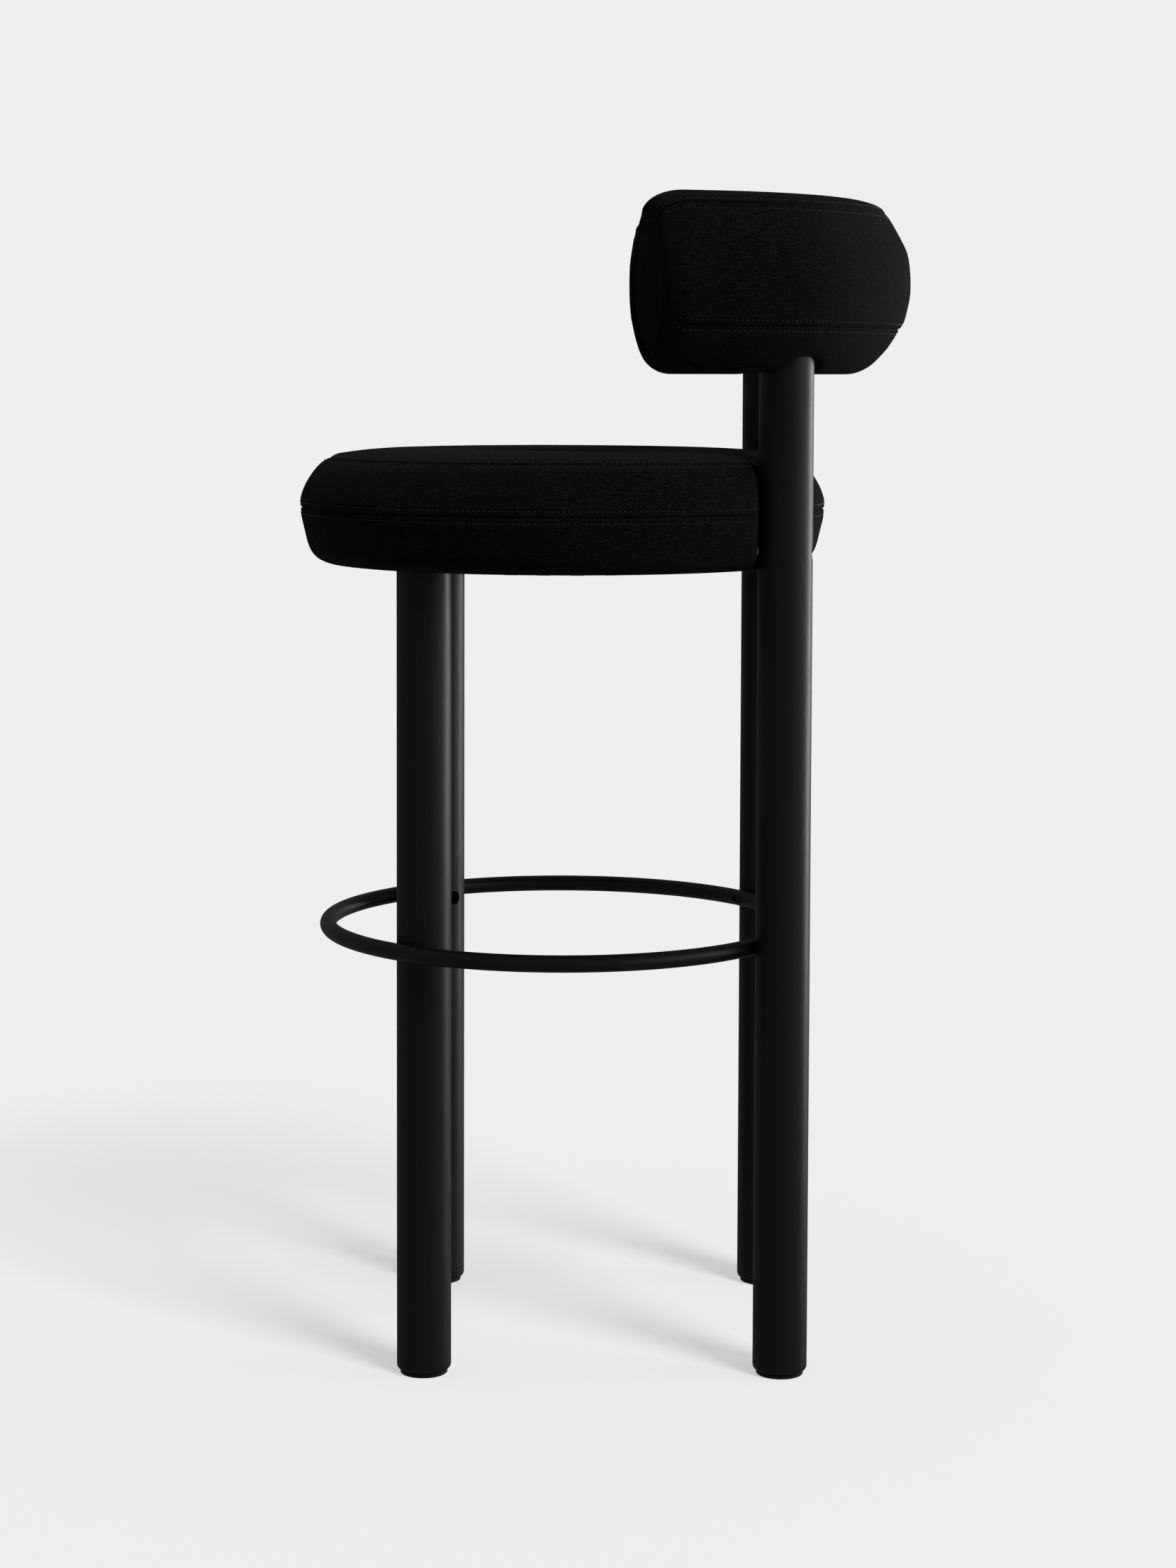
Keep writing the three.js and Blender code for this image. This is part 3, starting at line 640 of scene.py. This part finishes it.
def simulated_swell(rows, pinned, cap):
    """How far a cloth cover swells at each point of a closed grid when air presses it from inside,
    and never farther than the cap."""
    cover = closed_grid("cloth_run", rows)
    weights = cover.vertex_groups.new(name="pinned")
    held = np.concatenate([pinned.ravel(), [1.0, 1.0]])
    for index in np.nonzero(held > 0)[0]:
        weights.add([int(index)], float(held[index]), "REPLACE")
    run = cover.modifiers.new("cloth", "CLOTH")
    cloth = run.settings
    cloth.quality = 6
    cloth.mass = 0.25
    cloth.tension_stiffness = 60
    cloth.compression_stiffness = 60
    cloth.shear_stiffness = 30
    cloth.bending_stiffness = 12
    cloth.shrink_min = 0.0
    cloth.use_pressure = True
    cloth.uniform_pressure_force = run_pressure
    cloth.effector_weights.gravity = 0
    cloth.vertex_group_mass = "pinned"
    run.collision_settings.use_collision = False
    run.point_cache.frame_start = 1
    run.point_cache.frame_end = run_steps
    for step in range(1, run_steps + 1):
        bpy.context.scene.frame_set(step)
    settled = cover.evaluated_get(bpy.context.evaluated_depsgraph_get()).to_mesh()
    places = np.empty(len(settled.vertices) * 3)
    settled.vertices.foreach_get("co", places)
    moved = places.reshape(-1, 3)[:-2].reshape(rows.shape) - rows
    bpy.data.objects.remove(cover)
    bpy.context.scene.frame_set(1)
    size = np.linalg.norm(moved, axis=2, keepdims=True)
    return moved * (cap * np.tanh(size / cap) / np.maximum(size, 1e-9))


def resampled(values, rows_at, columns_at):
    """A grid's values at other rows and columns, smooth both ways and closed round the columns."""
    by_rows = catmull_rom(values, rows_at)
    return catmull_rom(by_rows.swapaxes(0, 1), columns_at, wrap=True).swapaxes(0, 1)


def puckers(rows, columns, seed):
    """Small uneven waves, one value for each point of a grid, for the gathers beside a seam."""
    rng = np.random.default_rng(seed)
    coarse = rng.normal(size=(max(rows // 24, 4), columns))
    return resampled(coarse, np.linspace(0, len(coarse) - 1, rows), np.arange(columns))


def puckering(distance):
    """How strongly the cloth puckers at a distance from a seam."""
    return np.exp(-(((np.abs(distance) - 9 * MM) / (6 * MM)) ** 2))


def blended(rows, at):
    """The row at a fractional place between two rows."""
    low = int(at)
    share = at - low
    return rows[low] * (1 - share) + rows[low + 1] * share


def pressed_by(points, centre, radius, reach):
    """Moves points sideways out of an upright round post and out of the slot between it and the
    cushion's side, with a soft lip round it."""
    offset = points[..., :2] - np.array(centre)
    inwards = -np.sign(centre[0])
    offset[..., 0] = inwards * np.maximum(offset[..., 0] * inwards, 0)
    distance = np.maximum(np.linalg.norm(offset, axis=-1, keepdims=True), 1e-6)
    outer = radius + reach
    power = outer / reach
    wanted = radius + reach * (distance / outer) ** power
    moved = points.copy()
    moved[..., :2] += offset / distance * np.where(distance < outer, wanted - distance, 0)
    return moved


def point_at(distance, along, line):
    return np.array([np.interp(distance, along, line[:, k]) for k in range(3)])


def stitch_beads(name, places, normals, thread):
    """A row of stitches: short threads that dip into the cloth at both ends."""
    along = lengths_along(places)
    count = int(along[-1] / stitch_pitch)
    # Share of the half length, and rise and radius in millimetres, at each section of a stitch.
    profile = [(-1, -0.6, 0.15), (-0.7, 0.05, 0.42), (0, 0.3, 0.55), (0.7, 0.05, 0.42), (1, -0.6, 0.15)]
    sides = 8
    points, faces = [], []
    for index in range(count):
        middle_at = (index + 0.5) * along[-1] / count
        centre = point_at(middle_at, along, places)
        out = point_at(middle_at, along, normals)
        tangent = point_at(middle_at + 0.5 * MM, along, places) - centre
        tangent /= np.linalg.norm(tangent)
        out = out - tangent * (out @ tangent)
        out /= np.linalg.norm(out)
        across = np.cross(tangent, out)
        base = len(points)
        for step, rise, radius in profile:
            middle_place = centre + tangent * step * stitch_half_length + out * rise * MM
            for j in range(sides):
                angle = 2 * math.pi * j / sides
                ring = out * math.cos(angle) + across * math.sin(angle)
                points.append(middle_place + ring * radius * MM)
        for i in range(len(profile) - 1):
            low, high = base + i * sides, base + (i + 1) * sides
            for j in range(sides):
                k = (j + 1) % sides
                faces.append((low + j, low + k, high + k, high + j))
        faces.append(tuple(base + j for j in reversed(range(sides))))
        faces.append(tuple(base + (len(profile) - 1) * sides + j for j in range(sides)))
    row = new_mesh(name, points, faces)
    shade_smooth(row, 80)
    return keep(row, thread, "cover_fabric")


# ---- Seat ----

# Half of the cushion's outline as [radius, height] in millimetres: the height is from the floor.
SEAT_OUTLINE = [
    [2, 764.0], [90, 763.6], [150, 762.8], [180, 761.4], [197, 758.2], [210, 748.5], [219.5, 735],
    [224.3, 722], [224.6, 712], [221.5, 697], [216, 678], [206, 668.8], [190, 667.2], [120, 667],
    [2, 667],
]
SEAT_COLUMNS = 900
SEAT_RUN_COLUMNS = 220
SEAT_COLUMNS_PER_PUCKER = 5
SEAT_TOP_SEAM_DROP = 0.5 * MM  # the seam lies this far below the edge of the top disc
SEAT_SWELL = 1.6 * MM
SEAT_TOP_HELD = 70 * MM  # the cloth is held flat this far from the middle of the top,
SEAT_UNDERSIDE_HELD = 186 * MM  # and this far from the middle of the underside


def length_at_height(line, height):
    """Distance along an outline to where its outer side passes a height."""
    along = lengths_along(line)
    outer = line[:, 0] > 0.8 * line[:, 0].max()
    return float(along[outer][np.abs(line[outer][:, 1] - height).argmin()])


def turned_rows(radius_height, columns):
    angles = np.linspace(0, 2 * math.pi, columns, endpoint=False)
    radius = radius_height[:, 0][:, None]
    x = radius * np.cos(angles)
    y = seat_axis_y + radius * np.sin(angles)
    z = np.repeat(radius_height[:, 1][:, None], columns, axis=1)
    return np.stack([x, y, z], axis=2)


def clear_of_rear_legs(rows):
    for end in rear_ends:
        spot = leg_spots[end]
        rows = pressed_by(rows, (spot.x, spot.y), leg_radius + leg_clearance, slot_lip)
    return rows


def seat_uv(lengths, columns, top_seam, places):
    """Flat cloth on the top and underside, and cloth that runs round the side on the bands."""
    turns = np.linspace(0, 2 * math.pi * seat_radius, columns + 1)
    uv = np.empty((len(lengths), columns + 1, 2))
    uv[:, :, 0] = turns[None, :]
    uv[:, :, 1] = lengths[:, None]
    flat = lengths < top_seam
    wrapped = np.concatenate([places, places[:, :1]], axis=1)
    uv[flat] = wrapped[flat][:, :, :2]
    return uv


def make_seat_cushion(cloth):
    line = smooth_line(np.array(SEAT_OUTLINE) * MM)
    total = lengths_along(line)[-1]
    top_seam = length_at_height(line, seat_seams[0] - SEAT_TOP_SEAM_DROP)
    seams = (top_seam, length_at_height(line, seat_seams[1]))
    lengths = graded(total, seams, 3 * MM, 0.6 * MM)
    rows = turned_rows(at_lengths(line, lengths), SEAT_COLUMNS)
    rows = rows + seat_swell(line, total, seams, lengths)
    normals = grid_normals(rows)
    gather = puckers(len(lengths), SEAT_COLUMNS // SEAT_COLUMNS_PER_PUCKER, 7)
    columns_at = np.arange(SEAT_COLUMNS) / SEAT_COLUMNS_PER_PUCKER
    gather = resampled(gather[:, :, None], np.arange(len(lengths)), columns_at)
    dent = sum(seam_dent(lengths - seam) for seam in seams)[:, None, None]
    for seam in seams:
        dent = dent + pucker_height * puckering(lengths - seam)[:, None, None] * gather
    rows = clear_of_rear_legs(rows - normals * dent)
    uv = seat_uv(lengths, SEAT_COLUMNS, top_seam, rows)
    cushion = closed_grid("seat_cushion", rows, uv)
    covers = ("seat_cover_top", "seat_cover_upper_band", "seat_cover_lower_band")
    keep(cushion, cloth, "cover_fabric", "seat_foam", *covers)
    return rows, lengths, seams


def seat_swell(line, total, seams, lengths):
    """The seat cover's swelling between its seams, on the fine grid."""
    coarse = np.linspace(0, total, round(total / run_spacing))
    shape = turned_rows(at_lengths(line, coarse), SEAT_RUN_COLUMNS)
    pinned = (coarse < SEAT_TOP_HELD) | (coarse > total - SEAT_UNDERSIDE_HELD)
    for seam in seams:
        pinned = pinned | (np.abs(coarse - seam) < run_held)
    held = np.repeat(pinned[:, None], SEAT_RUN_COLUMNS, axis=1).astype(float)
    swell = simulated_swell(shape, held, SEAT_SWELL)
    rows_at = lengths / total * (len(coarse) - 1)
    columns_at = np.arange(SEAT_COLUMNS) * SEAT_RUN_COLUMNS / SEAT_COLUMNS
    return resampled(swell, rows_at, columns_at)


def make_seat_stitches(rows, lengths, seams, thread):
    normals = grid_normals(rows)
    for label, seam in zip(("top", "middle"), seams):
        for side, sign in (("upper", -1), ("lower", 1)):
            at = np.interp(seam + sign * stitch_offset, lengths, np.arange(len(lengths)))
            line, out = blended(rows, at), blended(normals, at)
            order = order_from_leg(line)
            name = f"seat_{label}_seam_stitches_{side}"
            stitch_beads(name, line[order], out[order], thread)


def order_from_leg(line):
    """Indices of a loop's points in order round the seat from the rear left leg, where the row of
    stitches starts and ends."""
    angles = np.arctan2(line[:, 1] - seat_axis_y, line[:, 0])
    spot = leg_spots["rear_left"]
    leg_angle = math.atan2(spot.y - seat_axis_y, spot.x)
    return np.argsort((angles - leg_angle) % (2 * math.pi))


# ---- Backrest ----

# Outer half of the bolster's section as [outwards, height] in millimetres from its centre line.
BACK_OUTLINE = [
    [0, 974.8], [17, 972.9], [29.5, 967.5], [37, 956.5], [44.9, 942.5], [50.6, 930], [53, 914],
    [53.2, 897], [51, 884], [47.4, 871], [40.5, 860], [32, 848], [17.5, 834.2], [0, 828.5],
]
BACK_RUN_COLUMNS = 76
BACK_SWELL = 1.4 * MM
# How far the rounding of each end reaches along the bolster, and in from its section's sides.
END_ROUNDING = {"along": 27 * MM, "across": 14 * MM, "crown": 13 * MM, "underside": 25 * MM}
END_CORNER_LENGTH = 0.85  # of a quarter circle's, because the rounding is flatter than one
END_DOME = 2.5 * MM
OUTER_TAPER = 4 * MM  # how far the outer side draws in towards each end
OUTER_TAPER_REACH = 35 * MM  # the length over which it does


def back_section():
    """The bolster's closed section as a fine line that starts at the crown and goes down outside."""
    outer = np.array(BACK_OUTLINE) * MM
    inner = outer[-2:0:-1] * [-1, 1]
    line = smooth_line(np.concatenate([outer, inner]), wrap=True, per_corner=40)
    return line - [0, back_middle]


def back_stations():
    """Length of the line from one end's pole to the other's, the length on each end's flat part, and a
    function from a distance along it to a place: distance along the centre line, and the shares of the
    section's width and of its height above and below the middle."""
    flat = back_half_depth - END_ROUNDING["across"]
    corner = END_ROUNDING["along"] * math.pi / 2 * END_CORNER_LENGTH
    straight = 2 * (back_half_length - END_ROUNDING["along"] - END_DOME)
    total = 2 * (flat + corner) + straight

    def station(length):
        mirrored = length > total / 2
        from_pole = total - length if mirrored else length
        radial = min(from_pole / flat, 1)
        angle = min(max((from_pole - flat) / corner, 0), 1) * math.pi / 2
        wide = 1 - END_ROUNDING["across"] / back_half_depth * (1 - math.sin(angle))
        above, below = (
            radial * (1 - END_ROUNDING[side] / back_half_height * (1 - math.sin(angle)))
            for side in ("crown", "underside")
        )
        end = back_half_length - END_DOME * radial**2
        end -= END_ROUNDING["along"] * (1 - math.cos(angle))
        distance = end - max(from_pole - flat - corner, 0)
        return (distance if mirrored else -distance), wide * radial, above, below

    return total, flat, station


def back_place(distance):
    """Point on the centre line and the outward direction there, seen from above."""
    side = -1.0 if distance < 0 else 1.0
    turn = min(abs(distance), back_arc_length) / back_arc_radius
    beyond = max(abs(distance) - back_arc_length, 0)
    x = side * (back_arc_radius * math.sin(turn) + beyond * math.cos(turn))
    y = back_arc_y + back_arc_radius * math.cos(turn) - beyond * math.sin(turn)
    return x, y, side * math.sin(turn), math.cos(turn)


def back_rows(lengths, section, station):
    rows = np.empty((len(lengths), len(section), 3))
    for i, length in enumerate(lengths):
        distance, wide, above, below = station(length)
        x, y, out_x, out_y = back_place(distance)
        high = np.where(section[:, 1] > 0, above, below)
        from_corner = max(back_half_length - END_ROUNDING["along"] - abs(distance), 0)
        taper = OUTER_TAPER * math.exp(-((from_corner / OUTER_TAPER_REACH) ** 2))
        drawn_in = taper / back_half_depth
        wide = wide * (1 - drawn_in * (section[:, 0] > 0))
        rows[i, :, 0] = x + section[:, 0] * wide * out_x
        rows[i, :, 1] = y + section[:, 0] * wide * out_y
        rows[i, :, 2] = back_middle + section[:, 1] * high
    return rows


def tucked_at_legs(rows):
    """Draws the underside up a little where each rear leg enters it."""
    moved = rows.copy()
    for end in rear_ends:
        spot = leg_spots[end]
        away = np.hypot(rows[..., 0] - spot.x, rows[..., 1] - spot.y)
        low = np.clip((back_middle - 20 * MM - rows[..., 2]) / (20 * MM), 0, 1)
        beyond = np.maximum(away - leg_radius, 0)
        moved[..., 2] += low * 5 * MM * np.exp(-((beyond / (4 * MM)) ** 1.5))
    return moved


def make_backrest_cushion(cloth):
    section = back_section()
    round_length = lengths_along(section)[-1]
    total, flat, station = back_stations()
    seams = back_seam_places(section)
    columns = graded(round_length, seams, 3 * MM, 0.6 * MM)[:-1]
    loop = at_lengths(section, columns)
    end_seam = end_seam_line(loop, flat)
    ends = [end_seam, total - end_seam]
    middles = [float(line.mean()) for line in ends]
    lengths = graded(total, middles, 2.4 * MM, 0.6 * MM, reach=14 * MM)[1:-1]
    rows = back_rows(lengths, loop, station)
    rows = rows + back_swell(section, round_length, seams, flat, total, station, lengths, columns)
    normals = grid_normals(rows)
    dent = back_dents(lengths, columns, seams, ends, loop)
    rows = tucked_at_legs(rows - normals * dent[:, :, None])
    cushion = closed_grid("backrest_cushion", rows, back_uv(rows, lengths, columns, ends))
    panels = ["backrest_cover_" + side for side in ("top", "bottom", "outer", "inner")]
    ends_of_cover = ["backrest_end_panel_" + side for side in ("left", "right")]
    keep(cushion, cloth, "cover_fabric", "backrest_foam", *panels, *ends_of_cover)
    return rows, lengths, columns, seams, ends


def back_seam_places(section):
    """Distances round the section of the four long seams: outer top and bottom, inner bottom and top."""
    along = lengths_along(section)
    places = []
    for side, height in ((1, 0), (1, 1), (-1, 1), (-1, 0)):
        wanted = back_seams[height] - back_middle
        off = np.abs(section[:, 1] - wanted) + np.where(section[:, 0] * side > 0.02, 0, 1)
        places.append(float(along[off.argmin()]))
    return places


def end_seam_line(loop, flat):
    """Distance of an end panel's seam from the end's middle, for each point round the section: it runs
    lower than the end's own outline, so more of the crown than of the underside lies beyond it."""
    height = loop[:, 1] / back_half_height
    return flat + 1 * MM - 7 * MM * height


def back_dents(lengths, columns, seams, ends, loop):
    """Depth of the seams' creases on the bolster's grid. The end panels' seams are pulled nearly flat
    on the upper outer side."""
    long_seams = sum(seam_dent(columns - seam) for seam in seams)
    first, last = (lengths[:, None] - line[None, :] for line in ends)
    between = np.clip(first / (2 * MM), 0, 1) * np.clip(-last / (2 * MM), 0, 1)
    outer = np.clip(loop[:, 0] / back_half_depth, 0, 1)
    upper = np.clip(loop[:, 1] / back_half_height + 0.4, 0, 1)
    end_seams = (seam_dent(first) + seam_dent(last)) * (1 - 0.75 * outer * upper)[None, :]
    gather = puckers(len(columns), len(lengths), 11).T
    beside = sum(puckering(columns - seam) for seam in seams)
    dent = between * (long_seams[None, :] + pucker_height * beside[None, :] * gather)
    return np.maximum(dent, end_seams)


def back_swell(section, round_length, seams, flat, total, station, lengths, columns):
    """The backrest cover's swelling between its seams, on the fine grid."""
    run_lengths = np.linspace(0, total, round(total / run_spacing))[1:-1]
    run_columns = np.linspace(0, round_length, BACK_RUN_COLUMNS, endpoint=False)
    loop = at_lengths(section, run_columns)
    shape = back_rows(run_lengths, loop, station)
    held = np.zeros(shape.shape[:2])
    for seam in seams:
        held[:, np.abs(run_columns - seam) < run_held] = 1
    end_seam = end_seam_line(loop, flat)[None, :]
    from_end = np.minimum(run_lengths, total - run_lengths)[:, None]
    held[np.abs(from_end - end_seam) < run_held] = 1
    swell = simulated_swell(shape, held, BACK_SWELL)
    rows_at = np.interp(lengths, run_lengths, np.arange(len(run_lengths)))
    return resampled(swell, rows_at, columns / round_length * BACK_RUN_COLUMNS)


def back_uv(rows, lengths, columns, ends):
    """Cloth that runs round the bolster, and flat cloth on the two end panels."""
    uv = np.empty((rows.shape[0], rows.shape[1] + 1, 2))
    uv[:, :, 0] = lengths[:, None]
    closing = columns[-1] + (columns[-1] - columns[-2])
    uv[:, :, 1] = np.append(columns, closing)[None, :]
    first, last = (np.append(line, line[0])[None, :] for line in ends)
    panels = (lengths[:, None] < first) | (lengths[:, None] > last)
    wrapped = np.concatenate([rows, rows[:, :1]], axis=1)
    uv[panels, 0] = np.hypot(wrapped[panels][:, 0], wrapped[panels][:, 1])
    uv[panels, 1] = wrapped[panels][:, 2]
    return uv


def make_back_stitches(rows, lengths, columns, seams, ends, thread):
    lines = rows.swapaxes(0, 1)
    normals = grid_normals(rows).swapaxes(0, 1)
    margin = stitch_offset + 9 * MM  # from an end panel's seam to the first stitch
    labels = ("outer_top", "outer_bottom", "inner_bottom", "inner_top")
    for label, seam in zip(labels, seams):
        for side, sign in (("a", -1), ("b", 1)):
            at = np.interp(seam + sign * stitch_offset, columns, np.arange(len(columns)))
            first, last = ends[0][int(at)] + margin, ends[1][int(at)] - margin
            inside = (lengths > first) & (lengths < last)
            line, out = blended(lines, at)[inside], blended(normals, at)[inside]
            stitch_beads(f"backrest_{label}_stitches_{side}", line, out, thread)


# ---- Underside ----


def make_dust_cover(cloth):
    """Lining cloth over the seat's underside, with a turned edge and slack ripples between staples."""
    node = "seat_dust_cover"
    low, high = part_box(node)
    radius = width(node) / 2
    angles = np.linspace(0, 2 * math.pi, 360, endpoint=False)
    lower = [[3 * MM, 1.0 * MM], [0.5 * radius, 0.9 * MM], [0.8 * radius, 0.8 * MM]]
    lower += [[radius - 14 * MM, 0.7 * MM], [radius - 11 * MM, 0.5 * MM], [radius - 1 * MM, 0.6 * MM]]
    edge = [[radius, 1.2 * MM], [radius - 1 * MM, high.z - low.z], [3 * MM, high.z - low.z]]
    line = smooth_line(np.array(lower), per_corner=8)
    profile = np.concatenate([line, edge])
    rows = np.empty((len(profile), len(angles), 3))
    ripple = 0.15 * MM * np.cos(angles * 40)
    for i, (r, z) in enumerate(profile):
        share = min(r / radius, 1) ** 3 if i < len(line) else 0
        rows[i, :, 0] = r * np.cos(angles)
        rows[i, :, 1] = seat_axis_y + r * np.sin(angles)
        rows[i, :, 2] = low.z + z + share * (ripple + 0.15 * MM)
    cover = closed_grid("seat_dust_cover_sheet", rows)
    return keep(cover, cloth, "lining_cloth", node)


def make_staples(zinc):
    """Wire staples round the edge of the dust cover."""
    sheet = "seat_dust_cover"
    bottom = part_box(sheet)[0].z
    radius = width(sheet) / 2 - 6 * MM
    points, faces = [], []
    count = 40
    half_length, half_width, height = 5 * MM, 0.6 * MM, 0.5 * MM
    for index in range(count):
        angle = 2 * math.pi * (index + 0.5) / count
        out = np.array([math.cos(angle), math.sin(angle), 0])
        along = np.array([-math.sin(angle), math.cos(angle), 0])
        centre = np.array([0, seat_axis_y, bottom + 0.5 * MM]) + out * radius
        if any(
            math.hypot(centre[0] - spot.x, centre[1] - spot.y) < leg_radius + 8 * MM
            for spot in leg_spots.values()
        ):
            continue
        base = len(points)
        for end in (-1, 1):
            for side, drop in ((-1, 0.4), (-0.6, -0.4), (0.6, -0.4), (1, 0.4)):
                points.append(
                    centre + along * end * half_length + out * side * half_width + UP * drop * height
                )
        for i in range(4):
            k = (i + 1) % 4
            faces.append((base + i, base + k, base + 4 + k, base + 4 + i))
        faces += [tuple(range(base + 3, base - 1, -1)), tuple(range(base + 4, base + 8))]
    staples = new_mesh("seat_dust_cover_staples", points, faces)
    return keep(staples, zinc, "zinc_steel")


# ---- Floor, light and camera ----

BACKDROP = 0.863  # brightness of the backdrop, and of the floor away from the stool
FLOOR_GLOW = 0.515  # added to the floor near the stool, so that the lit floor is as pale
DIMMED = 0.12  # brightness that the backdrop lights the stool with


def make_floor():
    """A pale floor that takes the stool's shadow and fades into the backdrop."""
    floor = new_mesh("floor", [(-9, -9, 0), (9, -9, 0), (9, 9, 0), (-9, 9, 0)], [(0, 1, 2, 3)])
    n = Nodes("pale_floor")
    place = n.object_place()
    distance = n.add("VectorMath", {0: place}, operation="LENGTH").outputs["Value"]
    fade = n.add("MapRange", {"Value": distance, "From Min": 0.25, "From Max": 1.15}).outputs[0]
    n.finish(Base_Color=(0.80, 0.80, 0.80, 1), Roughness=0.9, Specular_IOR_Level=0.0)
    glow = n.add("Emission", {"Color": (FLOOR_GLOW,) * 3 + (1,), "Strength": 1.0})
    lit = n.add("AddShader", {0: n.shader.outputs[0], 1: glow.outputs[0]})
    even = n.add("Emission", {"Color": (BACKDROP,) * 3 + (1,), "Strength": 1.0})
    mixed = n.add("MixShader", {0: fade, 1: lit.outputs[0], 2: even.outputs[0]})
    output = n.tree.nodes["Material Output"]
    n.tree.links.new(mixed.outputs[0], output.inputs["Surface"])
    floor.data.materials.append(n.material)
    floor.visible_glossy = False
    floor.visible_diffuse = False


def make_world():
    """A pale backdrop for the camera that lights the stool more dimly than it looks."""
    world = bpy.data.worlds.new("studio")
    bpy.context.scene.world = world
    world.use_nodes = True
    nodes, links = world.node_tree.nodes, world.node_tree.links
    nodes.clear()
    seen = nodes.new("ShaderNodeBackground")
    seen.inputs["Color"].default_value = (BACKDROP,) * 3 + (1,)
    lights = nodes.new("ShaderNodeBackground")
    lights.inputs["Color"].default_value = (DIMMED,) * 3 + (1,)
    path = nodes.new("ShaderNodeLightPath")
    mix = nodes.new("ShaderNodeMixShader")
    output = nodes.new("ShaderNodeOutputWorld")
    links.new(path.outputs["Is Camera Ray"], mix.inputs[0])
    links.new(lights.outputs[0], mix.inputs[1])
    links.new(seen.outputs[0], mix.inputs[2])
    links.new(mix.outputs[0], output.inputs["Surface"])


def make_sun():
    light = bpy.data.lights.new("key", "SUN")
    light.energy = 1.35
    light.angle = math.radians(20)
    sun = bpy.data.objects.new("key", light)
    towards = Vector((0.75, 0.66, 0.88))
    sun.rotation_euler = towards.to_track_quat("Z", "Y").to_euler()
    sun.visible_glossy = False
    bpy.context.scene.collection.objects.link(sun)


def make_softbox(name, place, size, energy, reflection_only=False):
    """A large soft light that aims at the middle of the stool."""
    light = bpy.data.lights.new(name, "AREA")
    light.shape = "RECTANGLE"
    light.size, light.size_y = size
    light.energy = energy
    softbox = bpy.data.objects.new(name, light)
    softbox.location = place
    aim = Vector((0, 0, 0.5)) - Vector(place)
    softbox.rotation_euler = aim.to_track_quat("-Z", "Z").to_euler()
    softbox.visible_diffuse = not reflection_only
    softbox.visible_camera = False
    bpy.context.scene.collection.objects.link(softbox)


def make_camera():
    """Looks at the stool's left side from just above the seat, a little downwards."""
    data = bpy.data.cameras.new("camera")
    data.lens = 71.47
    data.sensor_width = 36
    data.shift_y = -0.1335
    data.clip_end = 60
    camera = bpy.data.objects.new("camera", data)
    pitch, roll = 0.0628, 0.0033
    level = Matrix.Rotation(math.pi / 2, 4, "Z") @ Matrix.Rotation(math.pi / 2 - pitch, 4, "X")
    place = Matrix.Translation((2.67585, seat_axis_y + 0.02216, 0.82385))
    camera.matrix_world = place @ level @ Matrix.Rotation(roll, 4, "Z")
    bpy.context.scene.collection.objects.link(camera)
    bpy.context.scene.camera = camera


# ---- Everything together ----


def finish_hidden_nodes(materials):
    """Materials for the CAD nodes that stay: hardware and wood inside the stool."""
    for part in frame["record"]["subparts"]:
        node = frame["nodes"][part["node"]]
        material = materials.get(part["material_slot"])
        if material:
            node.data.materials.clear()
            node.data.materials.append(material)


def build():
    cloth = cover_fabric()
    thread = stitch_thread()
    wood = stained_wood()
    paint = painted_steel()
    plastic = glide_plastic()
    zinc = plated_metal("zinc_plated_steel", (0.42, 0.43, 0.45), (0.60, 0.61, 0.62), 0.35)
    brass = plated_metal("brass", (0.50, 0.34, 0.12), (0.68, 0.48, 0.20), 0.3)
    lining = lining_cloth()
    hidden = {"stained_wood": wood, "painted_steel": paint, "glide_plastic": plastic}
    hidden.update(zinc_steel=zinc, brass=brass, plywood=plywood(), lining_cloth=lining)
    finish_hidden_nodes(hidden)
    for end in leg_spots:
        make_leg(end, wood)
        make_glide(end, plastic)
        make_ring_screw(end, paint)
        if end in rear_ends:
            make_plug(end, wood)
    make_ring(paint)
    make_seat_stitches(*make_seat_cushion(cloth), thread)
    make_back_stitches(*make_backrest_cushion(cloth), thread)
    make_dust_cover(lining)
    make_staples(zinc)


build()
make_floor()
make_world()
make_sun()
make_softbox("rim", (-1.6, 2.6, 0.7), (0.4, 2.2), 50, reflection_only=True)
make_softbox("side", (0.3, 3.2, 1.3), (1.2, 2.2), 8)
make_softbox("sheen", (1.6, 3.0, 1.2), (2.4, 2.4), 14, reflection_only=True)
make_camera()
bpy.context.scene.view_settings.view_transform = "Standard"
